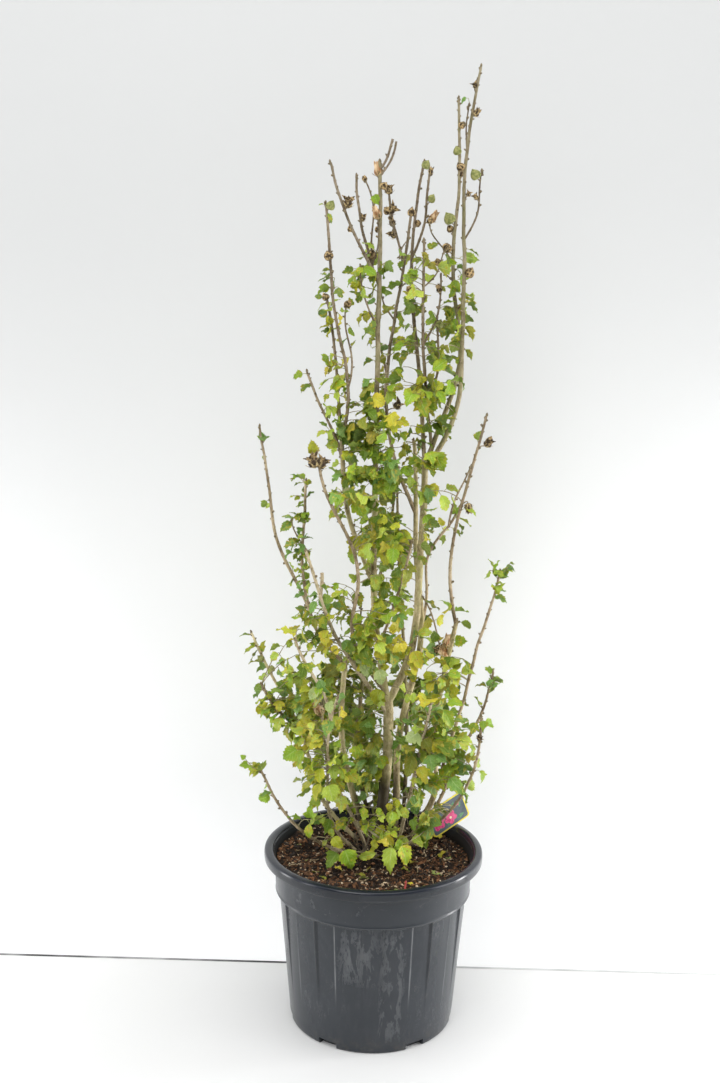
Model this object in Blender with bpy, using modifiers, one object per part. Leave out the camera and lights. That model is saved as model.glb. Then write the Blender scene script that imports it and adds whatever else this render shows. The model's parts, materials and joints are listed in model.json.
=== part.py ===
"""Hibiscus shrub in a nursery pot: a clump of upright stems with forking leaders, thin side shoots and loose masses of leaves, standing in a full pot of compost.

Units are metres, +Z up. The origin is the centre of the pot's flat underside. The viewer's side is -Y.
Every stem, bough and shoot is one tapering limb. A limb runs from its foot to its tip, and bends away from that straight line by a bow and a sway, so a few sizes describe it. Sizes in the limb table are millimetres.
"""

import math

import bmesh
import bpy
from mathutils import Matrix, Vector, noise

MM = 0.001
GAP = 0.0003  # clearance between pieces that touch

# Pot, a moulded tub with a rolled lip, a plain collar and fluted sides
POT_HEIGHT = 0.3470
LIP_RADIUS = 0.2150
LIP_INNER_RADIUS = 0.1975
LIP_BASE = 0.3272
COLLAR_TOP_RADIUS = 0.1950
COLLAR_FOOT_RADIUS = 0.1918
COLLAR_FOOT = 0.2640
BODY_TOP = 0.2600
BODY_TOP_RADIUS = 0.1842
BASE_RADIUS = 0.1613
BASE_ROUND = 0.0035
FLOOR_THICKNESS = 0.0160
WALL = 0.0085
STEPS = 48
FLUTE_DEPTH = 0.0034
FLUTE_PITCH = 30.0  # degrees from one shallow groove to the next, the first at the front
FLUTE_HALF = 7.5  # degrees from a groove's middle to its edge
FLUTE_FADE = 0.075  # height at which the flutes have run out
NOTCH_ANGLES = (31.0, 80.0, 129.0, 180.0, -129.0, -80.0, -31.0)
NOTCH_WIDTH = 0.038
NOTCH_DEPTH = 0.012
NOTCH_HEIGHT = 0.0125

# Compost, a low mound that slopes down to the wall
SOIL_CROWN = 0.3260
SOIL_EDGE = 0.3240
SOIL_PLATEAU = 0.118

# Plant tag, a stiff card on a short stake
TAG_WIDTH = 0.092
TAG_TALL = 0.062
TAG_THICK = 0.0012
TAG_PLACE = (0.153, 0.096, 0.3755)
TAG_ALONG = (0.81, 0.43, 0.40)  # the card's long edge rises to the right and away
TAG_UP = (-0.20, -0.12, 0.97)
STAKE_WIDTH = 0.008
STAKE_LENGTH = 0.006

TRUNK_FLARE = 2.6  # extra radius at the trunk's foot, in mm
SEGMENT = 0.085  # length of one straight facet along a limb

# name, what it grows from and how far up that (None and a foot on the compost), tip, bow, sway (x, z), ripples (x), radius at foot, radius at tip
LIMBS = [
    ("trunk", None, (10, 87), (24, 60, 627), (7, 0, 0), (-1, 0), (), 11.5, 8.6),
    ("stem_back", None, (43, 88), (67, 130, 1140), (23, 15, -2), (-7, 1), (-8, 0, 4), 7.5, 3.0),
    ("stem_left", None, (-10, 112), (-63, 125, 691), (-28, 10, -5), (-1, -1), (), 7.0, 4.2),
    ("stem_dark", None, (2, 128), (34, 160, 1069), (-40, 30, -2), (-15, -1), (-2, -4), 4.4, 1.6),
    ("stem_rear", None, (61, 131), (38, 195, 1057), (10, 20, -2), (5, 0), (), 4.2, 1.6),
    ("stem_right", None, (82, 137), (157, 60, 792), (9, -13, -7), (15, -4), (7, 1), 5.0, 3.6),
    ("stem_right_long", None, (65, 68), (228, -30, 907), (19, 2, -8), (8, -3), (5, 3, 3), 4.0, 1.5),
    ("stem_right_rear", None, (88, 90), (250, 220, 647), (14, 20, -14), (-2, -1), (5,), 3.8, 1.5),
    ("stem_right_low", None, (58, 33), (193, -110, 649), (43, 0, -18), (-2, -2), (), 3.4, 1.5),
    ("stem_front_right", None, (51, 63), (101, -80, 661), (1, 2, 1), (0, 0), (), 3.4, 1.5),
    ("stem_left_long", None, (-35, 85), (-251, 90, 754), (-9, 0, -8), (-10, -6), (-8,), 4.6, 1.5),
    ("stem_front_left", None, (-35, 24), (-106, -30, 643), (-25, -9, -12), (-11, -4), (-3,), 3.4, 1.5),
    ("stem_front_tan", None, (-14, 35), (-72, -140, 691), (-33, -11, -8), (9, 1), (), 3.6, 1.6),
    ("stem_left_low", None, (-22, -9), (-220, -60, 522), (-27, 0, -28), (1, -3), (), 3.2, 1.5),
    ("leader_left", "trunk", 0.98, (-11, 40, 1659), (-18, -5, -2), (-9, -1), (-3, -2), 7.0, 2.4),
    ("leader_right", "trunk", 0.98, (88, 80, 1099), (28, 10, -7), (8, -3), (3,), 7.4, 5.4),
    ("leader_right_top", "leader_right", 0.98, (137, 115, 1788), (34, 12, -8), (14, -2), (6, -4, -3), 5.0, 1.5),
    ("shoot_tall", "leader_right", 0.97, (171, 45, 1830), (25, -11, -10), (23, -5), (5, 4, 2), 5.0, 1.5),
    ("shoot_middle", "leader_right", 0.92, (76, 150, 1677), (-20, 0, 1), (8, 0), (), 4.2, 1.6),
    ("shoot_middle_front", "leader_right_top", 0.06, (74, 45, 1519), (-9, -7, -2), (-1, 0), (), 3.4, 1.5),
    ("shoot_middle_side", "shoot_middle", 0.70, (86, 110, 1655), (9, 0, -2), (2, -1), (), 2.6, 1.5),
    ("bough_middle", "stem_back", 0.82, (52, 85, 1579), (-51, 1, -5), (-11, -2), (), 3.9, 1.6),
    ("shoot_middle_left", "bough_middle", 0.82, (9, 125, 1622), (-4, 0, 0), (2, 0), (), 2.4, 1.5),
    ("shoot_top_left", "leader_left", 0.79, (-101, -5, 1649), (-8, 0, -4), (1, 0), (), 3.0, 1.5),
    ("shoot_top_left_rear", "leader_left", 0.78, (-54, 95, 1641), (-9, 0, -2), (1, 0), (), 2.8, 1.4),
    ("bough_left", "leader_left", 0.23, (-75, 20, 1151), (-16, -9, -5), (1, 0), (1,), 4.8, 3.4),
    ("bough_left_top", "bough_left", 0.98, (-108, -15, 1576), (11, -8, -2), (9, 0), (4,), 3.2, 1.6),
    ("shoot_left_rear", "bough_left", 0.93, (-108, 60, 1414), (5, 0, 1), (-2, 0), (), 3.0, 1.5),
    ("shoot_left_side", "bough_left", 0.84, (-142, 50, 1273), (2, 0, 1), (3, 1), (), 2.6, 1.5),
    ("bough_left_front", "leader_left", 0.02, (-114, -60, 1114), (-3, -29, -12), (-19, -4), (-10, 6), 4.2, 1.8),
    ("bough_front", "trunk", 0.89, (-134, -115, 955), (-19, 3, -7), (2, 0), (2,), 4.4, 1.7),
    ("bough_outer_left", "stem_left", 0.98, (-240, 150, 1162), (-39, 0, -19), (-2, -3), (-1, -5, -3), 4.0, 1.5),
    ("shoot_left_spire", "bough_outer_left", 0.24, (-141, 30, 1067), (-12, 1, 0), (-3, 0), (), 3.4, 1.5),
    ("shoot_centre", "leader_left", 0.11, (62, -20, 962), (4, 0, -1), (0, 0), (), 3.0, 1.5),
    ("bough_right", "stem_right", 0.98, (198, 10, 1197), (-28, -9, 0), (-6, -1), (), 3.5, 1.5),
    ("shoot_right_inner", "stem_back", 0.48, (169, 180, 1006), (-27, 0, 11), (6, -1), (3, -4), 3.2, 1.6),
    ("shoot_left_low", "stem_left_long", 0.55, (-220, -40, 685), (-9, 0, -4), (0, 0), (), 2.6, 1.5),
    ("shoot_left_front", "stem_front_tan", 0.86, (-151, -145, 797), (6, 0, 2), (4, 1), (), 2.8, 1.5),
]

# name, centre, half sizes, lean to +X in degrees, unevenness, seed
MASSES = [
    ("leaves_base_front", (2, -42, 415), (84, 58, 82), 0, 0.26, 3),
    ("leaves_base_rear", (10, 138, 404), (74, 40, 68), 0, 0.24, 7),
    ("leaves_low_left_front", (-94, -90, 546), (58, 42, 94), -6, 0.30, 11),
    ("leaves_low_left", (-144, 32, 634), (76, 68, 80), -10, 0.30, 15),
    ("leaves_left_spread", (-104, -46, 798), (56, 50, 66), -8, 0.30, 19),
    ("leaves_low_right", (112, -42, 566), (54, 54, 112), 6, 0.30, 23),
    ("leaves_low_right_outer", (182, 84, 558), (46, 60, 106), 12, 0.28, 27),
    ("leaves_low_rear", (90, 214, 618), (80, 48, 122), 2, 0.28, 31),
    ("leaves_low_left_rear", (-70, 194, 592), (82, 52, 124), -4, 0.28, 35),
    ("leaves_centre", (20, -26, 762), (58, 44, 104), 0, 0.28, 39),
    ("leaves_column", (-14, -18, 1042), (54, 44, 142), 0, 0.30, 43),
    ("leaves_column_rear", (12, 126, 930), (50, 44, 156), 0, 0.28, 47),
    ("leaves_left_spire", (-146, 44, 962), (34, 38, 112), 0, 0.28, 51),
    ("leaves_left_upper", (-92, 14, 1226), (34, 38, 126), 0, 0.28, 55),
    ("leaves_right_middle", (112, 40, 1060), (50, 42, 146), 0, 0.30, 59),
    ("leaves_right_upper", (110, 72, 1394), (62, 56, 144), 4, 0.30, 63),
    ("leaves_tip_right", (236, -32, 914), (28, 26, 26), 30, 0.26, 67),
    ("leaves_tip_left", (-226, -60, 524), (32, 28, 32), -40, 0.26, 71),
]


def material(name, colour, roughness, metallic=0.0):
    made = bpy.data.materials.new(name)
    made.use_nodes = True
    shader = made.node_tree.nodes["Principled BSDF"]
    shader.inputs["Base Color"].default_value = (*colour, 1.0)
    shader.inputs["Roughness"].default_value = roughness
    shader.inputs["Metallic"].default_value = metallic
    return made


def collection(name):
    made = bpy.data.collections.new(name)
    bpy.context.scene.collection.children.link(made)
    return made


def placed(name, mesh, home, finish=None, cutter=False):
    made = bpy.data.objects.new(name, mesh)
    home.objects.link(made)
    if finish:
        mesh.materials.clear()
        mesh.materials.append(finish)
    if cutter:
        made.hide_render = True
        made.display_type = "WIRE"
    return made


def evaluated(source, name):
    """A plain mesh of an object as its modifiers leave it, with its seams welded."""
    bpy.context.view_layer.update()
    graph = bpy.context.evaluated_depsgraph_get()
    mesh = bpy.data.meshes.new_from_object(source.evaluated_get(graph))
    mesh.name = name
    work = bmesh.new()
    work.from_mesh(mesh)
    bmesh.ops.remove_doubles(work, verts=work.verts, dist=0.00002)
    work.to_mesh(mesh)
    work.free()
    return mesh


def enclosed(verts):
    """Volume inside one loose piece, from its triangles' fans about the origin."""
    total = 0.0
    for face in {face for vert in verts for face in vert.link_faces}:
        corners = [vert.co for vert in face.verts]
        for index in range(1, len(corners) - 1):
            total += corners[0].dot(corners[index].cross(corners[index + 1])) / 6
    return total


def largest_piece(mesh):
    """Drops the crumbs that a cut leaves beside the main body."""
    work = bmesh.new()
    work.from_mesh(mesh)
    left, pieces = set(work.verts), []
    while left:
        piece, edge = set(), [left.pop()]
        while edge:
            vert = edge.pop()
            piece.add(vert)
            for link in vert.link_edges:
                other = link.other_vert(vert)
                if other in left:
                    left.remove(other)
                    edge.append(other)
        pieces.append(piece)
    if len(pieces) > 1:
        keep = max(pieces, key=lambda piece: enclosed(piece))
        gone = [vert for piece in pieces if piece is not keep for vert in piece]
        bmesh.ops.delete(work, geom=gone, context="VERTS")
    work.to_mesh(mesh)
    work.free()


def cut_by(piece, cutters):
    for index, cutter in enumerate(cutters):
        step = piece.modifiers.new(f"cut_{index}", "BOOLEAN")
        step.operation = "DIFFERENCE"
        step.solver = "EXACT"
        step.object = cutter


def settled(piece, home):
    """Replaces a cut piece by its evaluated mesh, as one body."""
    name, finish = piece.name, piece.data.materials[0]
    mesh = evaluated(piece, name)
    largest_piece(mesh)
    old = piece.data
    bpy.data.objects.remove(piece)
    bpy.data.meshes.remove(old)
    return placed(name, mesh, home, finish)


# ---------------------------------------------------------------- limbs


def limb_point(limb, t):
    """The centre line at share t of its length."""
    foot, tip = limb["foot"], limb["tip"]
    point = foot.lerp(tip, t) + limb["bow"] * math.sin(math.pi * t)
    point += Vector((limb["sway"][0], 0, limb["sway"][1])) * math.sin(2 * math.pi * t)
    for index, size in enumerate(limb["ripples"]):
        point.x += size * math.sin((3 + index) * math.pi * t)
    return point


def limb_radius(limb, t):
    radius = limb["thin"] + (limb["thick"] - limb["thin"]) * (1 - t) ** 0.85
    if limb["name"] == "trunk":
        radius += TRUNK_FLARE * MM * math.exp(-t / 0.07)
    return radius


def read_limbs():
    limbs = {}
    for name, parent, at, tip, bow, sway, ripples, thick, thin in LIMBS:
        limb = {
            "name": name,
            "parent": parent,
            "tip": Vector(tip) * MM,
            "bow": Vector(bow) * MM,
            "sway": (sway[0] * MM, sway[1] * MM),
            "ripples": [size * MM for size in ripples],
            "thick": thick * MM,
            "thin": thin * MM,
        }
        if parent:
            limb["foot"] = limb_point(limbs[parent], at)
        else:
            limb["foot"] = Vector((at[0] * MM, at[1] * MM, SOIL_CROWN + GAP))
        limbs[name] = limb
    return limbs


def tube(limb, grow, home, name):
    """A limb as a tube of straight facets. One that stands on the compost runs on below it, to be cut flat."""
    length = (limb["tip"] - limb["foot"]).length
    count = max(4, math.ceil(length / SEGMENT))
    shares = [index / count for index in range(count + 1)]
    if limb["name"] == "trunk":
        shares[1:1] = [0.06]
    points = [(limb_point(limb, t), limb_radius(limb, t)) for t in shares]
    if not limb["parent"]:
        along = (points[1][0] - points[0][0]).normalized()
        points[0] = (points[0][0] - along * (0.020 / along.z), points[0][1])
    if grow:
        first = (points[0][0] - points[1][0]).normalized()
        last = (points[-1][0] - points[-2][0]).normalized()
        points[0] = (points[0][0] + first * grow, points[0][1])
        points[-1] = (points[-1][0] + last * grow, points[-1][1])
    curve = bpy.data.curves.new(name, "CURVE")
    curve.dimensions = "3D"
    curve.bevel_depth = 1.0
    curve.bevel_resolution = 2 if limb["thick"] > 0.0055 else 1
    curve.use_fill_caps = True
    line = curve.splines.new("POLY")
    line.points.add(len(points) - 1)
    for spot, (place, radius) in zip(line.points, points):
        spot.co = (*place, 1.0)
        spot.radius = radius + grow
    made = bpy.data.objects.new(name, curve)
    home.objects.link(made)
    mesh = evaluated(made, name)
    bpy.data.objects.remove(made)
    bpy.data.curves.remove(curve)
    if not limb["parent"]:
        work = bmesh.new()
        work.from_mesh(mesh)
        geometry = work.verts[:] + work.edges[:] + work.faces[:]
        level = limb["foot"].z - (0.001 if grow else 0)
        bmesh.ops.bisect_plane(work, geom=geometry, plane_co=(0, 0, level), plane_no=(0, 0, 1), clear_inner=True)
        bmesh.ops.holes_fill(work, edges=work.edges[:], sides=0)
        bmesh.ops.recalc_face_normals(work, faces=work.faces[:])
        work.to_mesh(mesh)
        work.free()
    return mesh


def near(one, other):
    """Whether two limbs come closer than their clearance anywhere."""
    steps = 40
    for a in range(steps + 1):
        here, thick = limb_point(one, a / steps), limb_radius(one, a / steps)
        for b in range(steps + 1):
            reach = thick + limb_radius(other, b / steps) + 6 * GAP + 0.004
            if (limb_point(other, b / steps) - here).length < reach:
                return True
    return False


def build_limbs(home, cutters, bark):
    limbs = read_limbs()
    shapes = {}
    for name, limb in limbs.items():
        shapes[name] = placed("cut_" + name, tube(limb, GAP + 0.0001, cutters, "cut_" + name), cutters, None, True)
    done = []
    for name, limb in limbs.items():
        finish = bark["old"] if limb["thick"] > 0.0045 else bark["young"]
        piece = placed(name, tube(limb, 0.0, home, name), home, finish)
        touching = [shapes[other] for other in done if near(limb, limbs[other])]
        if touching:
            cut_by(piece, touching)
            piece = settled(piece, home)
        done.append(name)
    return limbs, shapes


# ---------------------------------------------------------------- leaf masses


def leaf_mass(name, centre, half, lean, rough, seed, fine):
    work = bmesh.new()
    bmesh.ops.create_uvsphere(work, u_segments=12 if fine else 9, v_segments=8 if fine else 6, radius=1.0)
    turn = math.radians(lean)
    middle = Vector(centre) * MM
    for vert in work.verts:
        way = vert.co.normalized()
        swell = 1 + rough * noise.noise(way * 1.9 + Vector((seed, 2 * seed, 0.5)))
        swell += 0.5 * rough * noise.noise(way * 4.3 + Vector((0.3, seed, 3 * seed)))
        shape = Vector((way.x * half[0], way.y * half[1], way.z * half[2])) * (MM * swell)
        leant = Vector((shape.x + shape.z * math.tan(turn), shape.y, shape.z))
        vert.co = middle + leant
        vert.co.z = max(vert.co.z, SOIL_CROWN + 0.004)
    mesh = bpy.data.meshes.new(name)
    bmesh.ops.triangulate(work, faces=work.faces[:])
    work.to_mesh(mesh)
    work.free()
    return mesh


def boxes_meet(one, other, slack=0.001):
    def box(thing):
        points = [thing.matrix_world @ vert.co for vert in thing.data.vertices]
        return [(min(p[i] for p in points), max(p[i] for p in points)) for i in range(3)]

    return all(a[0] - slack < b[1] and b[0] - slack < a[1] for a, b in zip(box(one), box(other)))


def grown(mesh, name, by):
    made = mesh.copy()
    made.name = name
    work = bmesh.new()
    work.from_mesh(made)
    work.normal_update()
    for vert, way in [(vert, vert.normal.copy()) for vert in work.verts]:
        vert.co += way * by
    work.to_mesh(made)
    work.free()
    return made


def build_masses(home, cutters, shapes, green):
    earlier = []
    for index, (name, centre, half, lean, rough, seed) in enumerate(MASSES):
        fine = half[2] > 60
        mesh = leaf_mass(name, centre, half, lean, rough, seed, fine)
        shape = placed("cut_" + name, grown(mesh, "cut_" + name, 0.0006), cutters, None, True)
        piece = placed(name, mesh, home, green[index % len(green)])
        touching = [other for other in shapes.values() if boxes_meet(piece, other)]
        touching += [other for other in earlier if boxes_meet(piece, other)]
        if touching:
            cut_by(piece, touching)
            piece = settled(piece, home)
        earlier.append(shape)


# ---------------------------------------------------------------- pot, compost and tag


def turned(name, profile, home):
    """A profile of (radius, height) turned about the vertical, from its top down its outer side."""
    mesh = bpy.data.meshes.new(name)
    mesh.from_pydata([(radius, 0, height) for radius, height in profile], [(i, i + 1) for i in range(len(profile) - 1)], [])
    made = bpy.data.objects.new(name, mesh)
    home.objects.link(made)
    screw = made.modifiers.new("turn", "SCREW")
    screw.angle = 2 * math.pi
    screw.steps = STEPS
    screw.render_steps = STEPS
    screw.axis = "Z"
    screw.use_merge_vertices = True
    screw.merge_threshold = 0.00005
    result = evaluated(made, name)
    bpy.data.objects.remove(made)
    return result


def flute(angle):
    """Depth share of the fluting at an angle from the front: shallow grooves all round, with a plain panel between each two."""
    off = abs((angle + FLUTE_PITCH / 2) % FLUTE_PITCH - FLUTE_PITCH / 2)
    return max(0.0, 1.0 - off / FLUTE_HALF)


def build_pot(home, cutters, finish):
    outer = [
        (LIP_INNER_RADIUS, POT_HEIGHT - 0.0020),
        (LIP_INNER_RADIUS + 0.0060, POT_HEIGHT),
        (LIP_RADIUS - 0.0055, POT_HEIGHT - 0.0006),
        (LIP_RADIUS, POT_HEIGHT - 0.0060),
        (LIP_RADIUS - 0.0004, LIP_BASE + 0.0030),
        (LIP_RADIUS - 0.0040, LIP_BASE),
        (COLLAR_TOP_RADIUS, LIP_BASE),
        (COLLAR_FOOT_RADIUS, COLLAR_FOOT),
        (BODY_TOP_RADIUS, BODY_TOP),
        (BASE_RADIUS + (BODY_TOP_RADIUS - BASE_RADIUS) * 0.45, 0.45 * BODY_TOP),
        (BASE_RADIUS, BASE_ROUND),
        (BASE_RADIUS - BASE_ROUND, 0.0),
        (0.0, 0.0),
    ]
    inner = [
        (0.0, FLOOR_THICKNESS),
        (BASE_RADIUS - WALL + 0.001, FLOOR_THICKNESS),
        (BODY_TOP_RADIUS - WALL, BODY_TOP),
        (COLLAR_FOOT_RADIUS - 0.0045, COLLAR_FOOT + 0.001),
        (COLLAR_TOP_RADIUS - 0.0040, LIP_BASE + 0.002),
        (LIP_INNER_RADIUS, POT_HEIGHT - 0.0020),
    ]
    mesh = turned("pot", outer + inner, home)
    for vert in mesh.vertices:
        radius = math.hypot(vert.co.x, vert.co.y)
        if FLUTE_FADE < vert.co.z < BODY_TOP + 0.001 and radius > BASE_RADIUS - 0.001 and vert.co.z > 0.1 and radius > BASE_RADIUS + (BODY_TOP_RADIUS - BASE_RADIUS) * vert.co.z / BODY_TOP - 0.004:
            angle = math.degrees(math.atan2(vert.co.x, -vert.co.y))
            deep = FLUTE_DEPTH * flute(angle) * (vert.co.z - FLUTE_FADE) / (BODY_TOP - FLUTE_FADE)
            share = (radius - deep) / radius
            vert.co.x *= share
            vert.co.y *= share
    pot = placed("pot", mesh, home, finish)
    notches = []
    for index, angle in enumerate(NOTCH_ANGLES):
        bpy.ops.mesh.primitive_cube_add(size=1.0)
        notch = bpy.context.active_object
        notch.name = f"cut_notch_{index}"
        for other in notch.users_collection:
            other.objects.unlink(notch)
        cutters.objects.link(notch)
        turn = math.radians(angle)
        reach = BASE_RADIUS + 0.010 - NOTCH_DEPTH / 2
        notch.scale = (NOTCH_WIDTH, NOTCH_DEPTH + 0.020, 2 * NOTCH_HEIGHT)
        notch.location = (reach * math.sin(turn), -reach * math.cos(turn), 0.0)
        notch.rotation_euler = (0, 0, turn)
        notch.hide_render = True
        notch.display_type = "WIRE"
        notches.append(notch)
    cut_by(pot, notches)
    pot = settled(pot, home)
    pot.data.shade_smooth()
    pot.data.set_sharp_from_angle(angle=math.radians(32))
    return pot


def build_soil(home, finish):
    def wall(height):
        """Inner radius of the pot at a height."""
        low, high = (COLLAR_FOOT + 0.001, COLLAR_FOOT_RADIUS - 0.0045), (LIP_BASE + 0.002, COLLAR_TOP_RADIUS - 0.0040)
        return low[1] + (high[1] - low[1]) * (height - low[0]) / (high[0] - low[0])

    profile = [
        (0.0, SOIL_CROWN),
        (SOIL_PLATEAU, SOIL_CROWN),
        (0.160, SOIL_EDGE + 0.0008),
        (wall(SOIL_EDGE) - 0.0004, SOIL_EDGE),
        (COLLAR_FOOT_RADIUS - 0.0045 - 0.0004, COLLAR_FOOT + 0.001 + 0.0004),
        (BODY_TOP_RADIUS - WALL - 0.0004, BODY_TOP + 0.0004),
        (BASE_RADIUS - WALL + 0.001 - 0.0004, FLOOR_THICKNESS + GAP),
        (0.0, FLOOR_THICKNESS + GAP),
    ]
    soil = placed("compost", turned("compost", profile, home), home, finish)
    soil.data.shade_smooth()
    soil.data.set_sharp_from_angle(angle=math.radians(35))
    return soil


def build_tag(home, finish):
    """A card with rounded corners on a narrow stake, drawn as one flat outline."""
    half, round_off, sides = TAG_WIDTH / 2, 0.008, 4
    low = -TAG_TALL / 2
    left, foot = -half + round_off + 0.001, low - STAKE_LENGTH
    outline = [(left + STAKE_WIDTH, low), (left + STAKE_WIDTH, foot), (left, foot), (left, low)]
    for cx, cy, start in ((-half, low, 270), (-half, -low, 180), (half, -low, 90), (half, low, 0)):
        mx, my = cx - math.copysign(round_off, cx), cy - math.copysign(round_off, cy)
        for step in range(sides + 1):
            turn = math.radians(start - 90 * step / sides)
            outline.append((mx + round_off * math.cos(turn), my + round_off * math.sin(turn)))
    curve = bpy.data.curves.new("plant_tag", "CURVE")
    curve.dimensions = "2D"
    curve.fill_mode = "BOTH"
    curve.extrude = TAG_THICK / 2
    line = curve.splines.new("POLY")
    line.use_cyclic_u = True
    line.points.add(len(outline) - 1)
    for spot, (x, y) in zip(line.points, outline):
        spot.co = (x, y, 0, 1)
    made = bpy.data.objects.new("plant_tag", curve)
    home.objects.link(made)
    mesh = evaluated(made, "plant_tag")
    bpy.data.objects.remove(made)
    bpy.data.curves.remove(curve)
    tag = placed("plant_tag", mesh, home, finish)
    along = Vector(TAG_ALONG).normalized()
    out = along.cross(Vector(TAG_UP)).normalized()
    tag.rotation_euler = Matrix((along, out.cross(along), out)).transposed().to_euler()
    tag.location = TAG_PLACE
    return tag


def main():
    for thing in list(bpy.data.objects):
        bpy.data.objects.remove(thing)
    home = collection("hibiscus_shrub")
    cutters = collection("cutters")
    old_bark = material("bark_old", (0.30, 0.25, 0.17), 0.85)
    young_bark = material("bark_young", (0.33, 0.26, 0.19), 0.8)
    greens = [material("leaf_green", (0.16, 0.30, 0.07), 0.6), material("leaf_light", (0.33, 0.42, 0.10), 0.6), material("leaf_yellow", (0.55, 0.50, 0.10), 0.6)]
    limbs, shapes = build_limbs(home, cutters, {"old": old_bark, "young": young_bark})
    build_masses(home, cutters, shapes, greens)
    build_pot(home, cutters, material("pot_plastic", (0.05, 0.056, 0.065), 0.42))
    build_soil(home, material("compost", (0.07, 0.04, 0.025), 0.95))
    build_tag(home, material("tag_card", (0.75, 0.70, 0.15), 0.35))


main()
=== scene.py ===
"""Looks of a tall hibiscus shrub in a black nursery pot.

Metres, +Z up, the same frame as the CAD. The limb table repeats the CAD limbs in millimetres; leaves, twigs, buds and seed heads are grown from those limbs by seeded rules.
"""
import json
import math
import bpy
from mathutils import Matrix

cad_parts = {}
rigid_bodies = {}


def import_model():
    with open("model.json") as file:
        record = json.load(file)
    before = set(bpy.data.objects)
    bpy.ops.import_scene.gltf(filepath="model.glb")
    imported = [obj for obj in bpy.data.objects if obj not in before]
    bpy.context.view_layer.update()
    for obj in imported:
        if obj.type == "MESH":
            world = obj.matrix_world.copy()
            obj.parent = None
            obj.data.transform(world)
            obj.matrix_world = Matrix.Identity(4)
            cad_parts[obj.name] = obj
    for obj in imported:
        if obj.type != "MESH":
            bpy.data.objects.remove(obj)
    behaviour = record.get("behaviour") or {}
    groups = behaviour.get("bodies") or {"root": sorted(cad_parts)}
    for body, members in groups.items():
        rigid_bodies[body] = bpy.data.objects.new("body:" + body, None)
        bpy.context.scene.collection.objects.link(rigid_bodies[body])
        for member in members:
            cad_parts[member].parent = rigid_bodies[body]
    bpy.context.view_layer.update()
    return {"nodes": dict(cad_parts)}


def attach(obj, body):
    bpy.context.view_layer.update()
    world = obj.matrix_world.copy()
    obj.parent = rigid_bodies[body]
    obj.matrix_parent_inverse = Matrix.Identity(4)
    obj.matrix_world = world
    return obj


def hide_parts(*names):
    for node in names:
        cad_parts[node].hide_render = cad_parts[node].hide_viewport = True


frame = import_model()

import zlib

import bpy
import numpy as np
from mathutils import Matrix, Vector

MM = 0.001
TAU = 2 * math.pi
UP = np.array([0.0, 0.0, 1.0])


def dice(name):
    """A random source of its own for each feature, the same on every run."""
    return np.random.default_rng(zlib.crc32(name.encode()))


# ---------------------------------------------------------------- vectors


def unit(v):
    v = np.asarray(v, float)
    return v / np.maximum(np.linalg.norm(v, axis=-1, keepdims=True), 1e-12)


def across(v, normal):
    """The part of v that is square to normal, as a unit vector."""
    return unit(v - (v * normal).sum(-1, keepdims=True) * normal)


def smooth(x, low, high):
    x = np.clip((np.asarray(x, float) - low) / (high - low), 0, 1)
    return x * x * (3 - 2 * x)


def _hash(ix, iy, iz, seed):
    h = (ix.astype(np.int64) * 374761393 + iy.astype(np.int64) * 668265263 + iz.astype(np.int64) * 2147483647 + seed * 974634777) & 0xFFFFFFFF
    h = ((h ^ (h >> 13)) * 1274126177) & 0xFFFFFFFF
    h = ((h ^ (h >> 16)) * 2246822519) & 0xFFFFFFFF
    return ((h ^ (h >> 15)) & 0xFFFFFF) / float(0x7FFFFF) - 1.0


def value_noise(points, seed=0):
    """Smooth noise in -1..1 at points of any shape (..., 3)."""
    p = np.asarray(points, float)
    cell = np.floor(p)
    f = p - cell
    f = f * f * (3 - 2 * f)
    c = cell.astype(np.int64)
    total = 0.0
    for dx in (0, 1):
        for dy in (0, 1):
            for dz in (0, 1):
                w = (f[..., 0] if dx else 1 - f[..., 0]) * (f[..., 1] if dy else 1 - f[..., 1]) * (f[..., 2] if dz else 1 - f[..., 2])
                total = total + w * _hash(c[..., 0] + dx, c[..., 1] + dy, c[..., 2] + dz, seed)
    return total


def fractal(points, seed=0, octaves=3):
    total, size = 0.0, 1.0
    for k in range(octaves):
        total = total + size * value_noise(np.asarray(points) * 2.0**k, seed + 17 * k)
        size *= 0.5
    return total


# ---------------------------------------------------------------- mesh gathering


class Heap:
    """Gathers many small meshes into one piece, with one vector attribute of local coordinates."""

    def __init__(self):
        self.verts, self.quads, self.tris, self.qm, self.tm, self.local, self.count = [], [], [], [], [], [], 0

    def add(self, verts, quads=None, tris=None, local=None, mat=0, tri_mat=None):
        verts = np.asarray(verts, float).reshape(-1, 3)
        if quads is not None and len(quads):
            q = np.asarray(quads, np.int64).reshape(-1, 4) + self.count
            self.quads.append(q)
            self.qm.append(np.broadcast_to(np.asarray(mat, np.int32), (len(q),)))
        if tris is not None and len(tris):
            t = np.asarray(tris, np.int64).reshape(-1, 3) + self.count
            self.tris.append(t)
            self.tm.append(np.broadcast_to(np.asarray(mat if tri_mat is None else tri_mat, np.int32), (len(t),)))
        self.verts.append(verts)
        self.local.append(np.zeros_like(verts) if local is None else np.asarray(local, float).reshape(-1, 3))
        self.count += len(verts)

    def triangles(self):
        return 2 * sum(len(q) for q in self.quads) + sum(len(t) for t in self.tris)


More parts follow.
